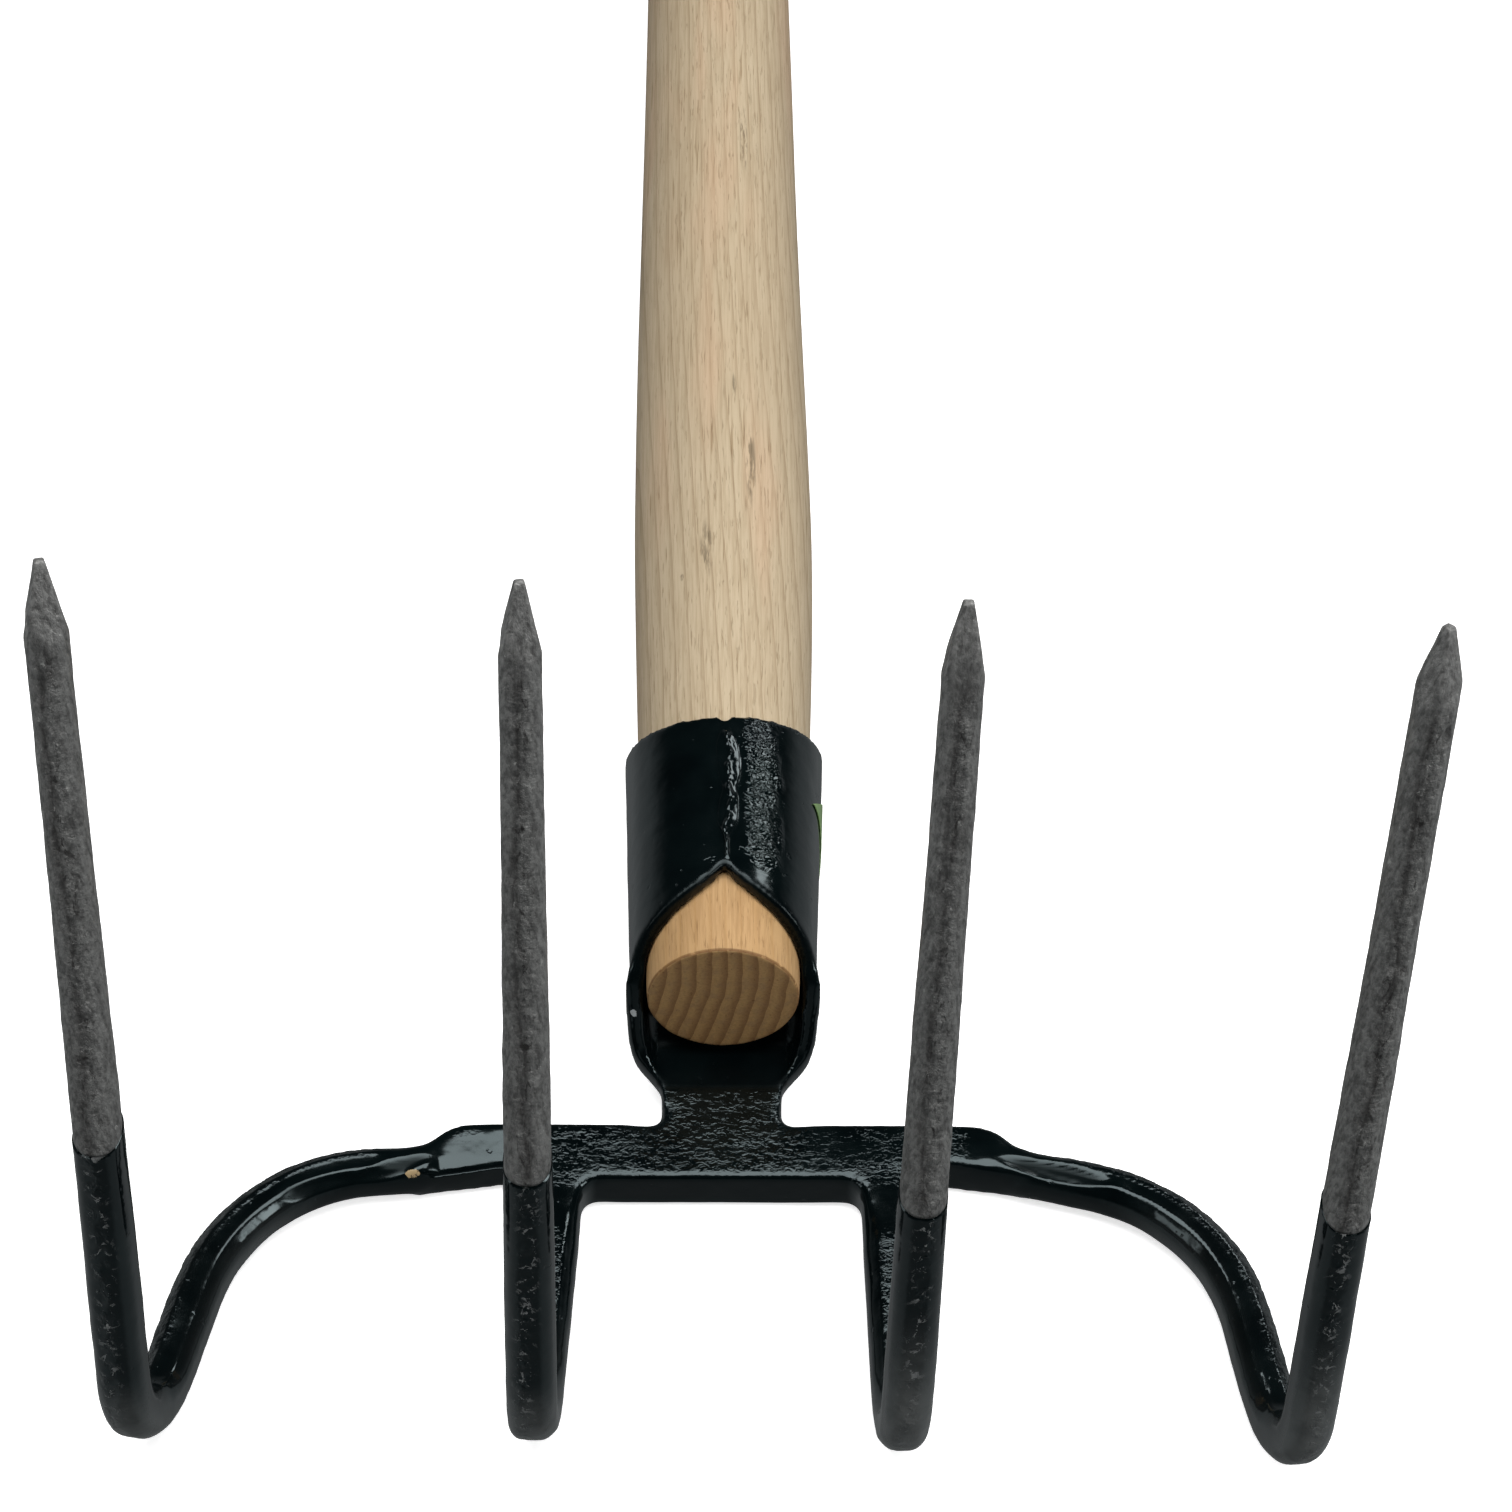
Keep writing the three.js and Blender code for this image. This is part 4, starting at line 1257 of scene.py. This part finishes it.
def soft_box(name, place, aim, size, watts):
    lamp = bpy.data.lights.new(name, "AREA")
    lamp.shape = "RECTANGLE"
    lamp.size, lamp.size_y = size
    lamp.energy = watts
    made = add_object(name, lamp)
    made.location = place
    z = unit(np.array(place, float) - aim)
    x = unit(np.cross([0, 1, 0.001], z)) if abs(z[2]) > 0.99 else unit(np.cross([0, 0, 1], z))
    y = np.cross(z, x)
    made.rotation_euler = Matrix(np.stack([x, y, z], 1).tolist()).to_euler()


def make_light():
    """A dark room, a little paler low down and to the sides, four soft boxes, and a pale backdrop."""
    world = bpy.data.worlds.new("studio")
    bpy.context.scene.world = world
    world.use_nodes = True
    tree = world.node_tree
    background = tree.nodes["Background"]
    background.inputs[0].default_value = (0.93, 0.98, 1.0, 1)
    direction = node(tree, "ShaderNodeTexCoord").outputs["Generated"]
    x, _, z = node(tree, "ShaderNodeSeparateXYZ", {0: direction}).outputs
    aside = between(tree, maths(tree, "ABSOLUTE", x), 0.25, 0.6, 0.13, 0.27)
    low_down = between(tree, z, -0.15, 0.3, 1.0, 0.0)
    lit = maths(tree, "MULTIPLY_ADD", aside, low_down, 0.015)
    backdrop = maths(tree, "MULTIPLY", node(tree, "ShaderNodeLightPath").outputs["Is Camera Ray"], 0.9)
    tree.links.new(maths(tree, "MAXIMUM", lit, backdrop), background.inputs[1])
    soft_box("overhead", (0, 0.05, 1.45), (0, 0.05, 0), (1.7, 1.1), 27)
    soft_box("left", (-1.4, -0.5, 0.9), (0, 0.1, 0.02), (0.8, 0.6), 3)
    soft_box("right", (1.4, -0.5, 0.9), (0, 0.1, 0.02), (0.8, 0.6), 10)
    soft_box("behind", (0.95, 1.25, 0.95), (0, 0.05, 0), (0.5, 0.45), 4)


CAMERA_PLACE = (-7.36, -358.46, 444.65)
CAMERA_DOWN = math.radians(46.31)
CAMERA_TURN = math.radians(-1.98)
CAMERA_ROLL = math.radians(1.85)
CAMERA_LENS = 69.05


def make_camera():
    data = bpy.data.cameras.new("camera")
    data.sensor_width = 36
    data.lens = CAMERA_LENS
    data.clip_start, data.clip_end = 0.01, 50
    camera = add_object("camera", data)
    tilt = Matrix.Rotation(math.pi / 2 - CAMERA_DOWN, 4, "X")
    turn = Matrix.Rotation(CAMERA_TURN, 4, "Z")
    roll = Matrix.Rotation(CAMERA_ROLL, 4, "Z")
    camera.matrix_world = Matrix.Translation([c * MM for c in CAMERA_PLACE]) @ turn @ tilt @ roll
    bpy.context.scene.camera = camera


make_floor()
make_light()
make_camera()
bpy.context.scene.view_settings.view_transform = "Standard"
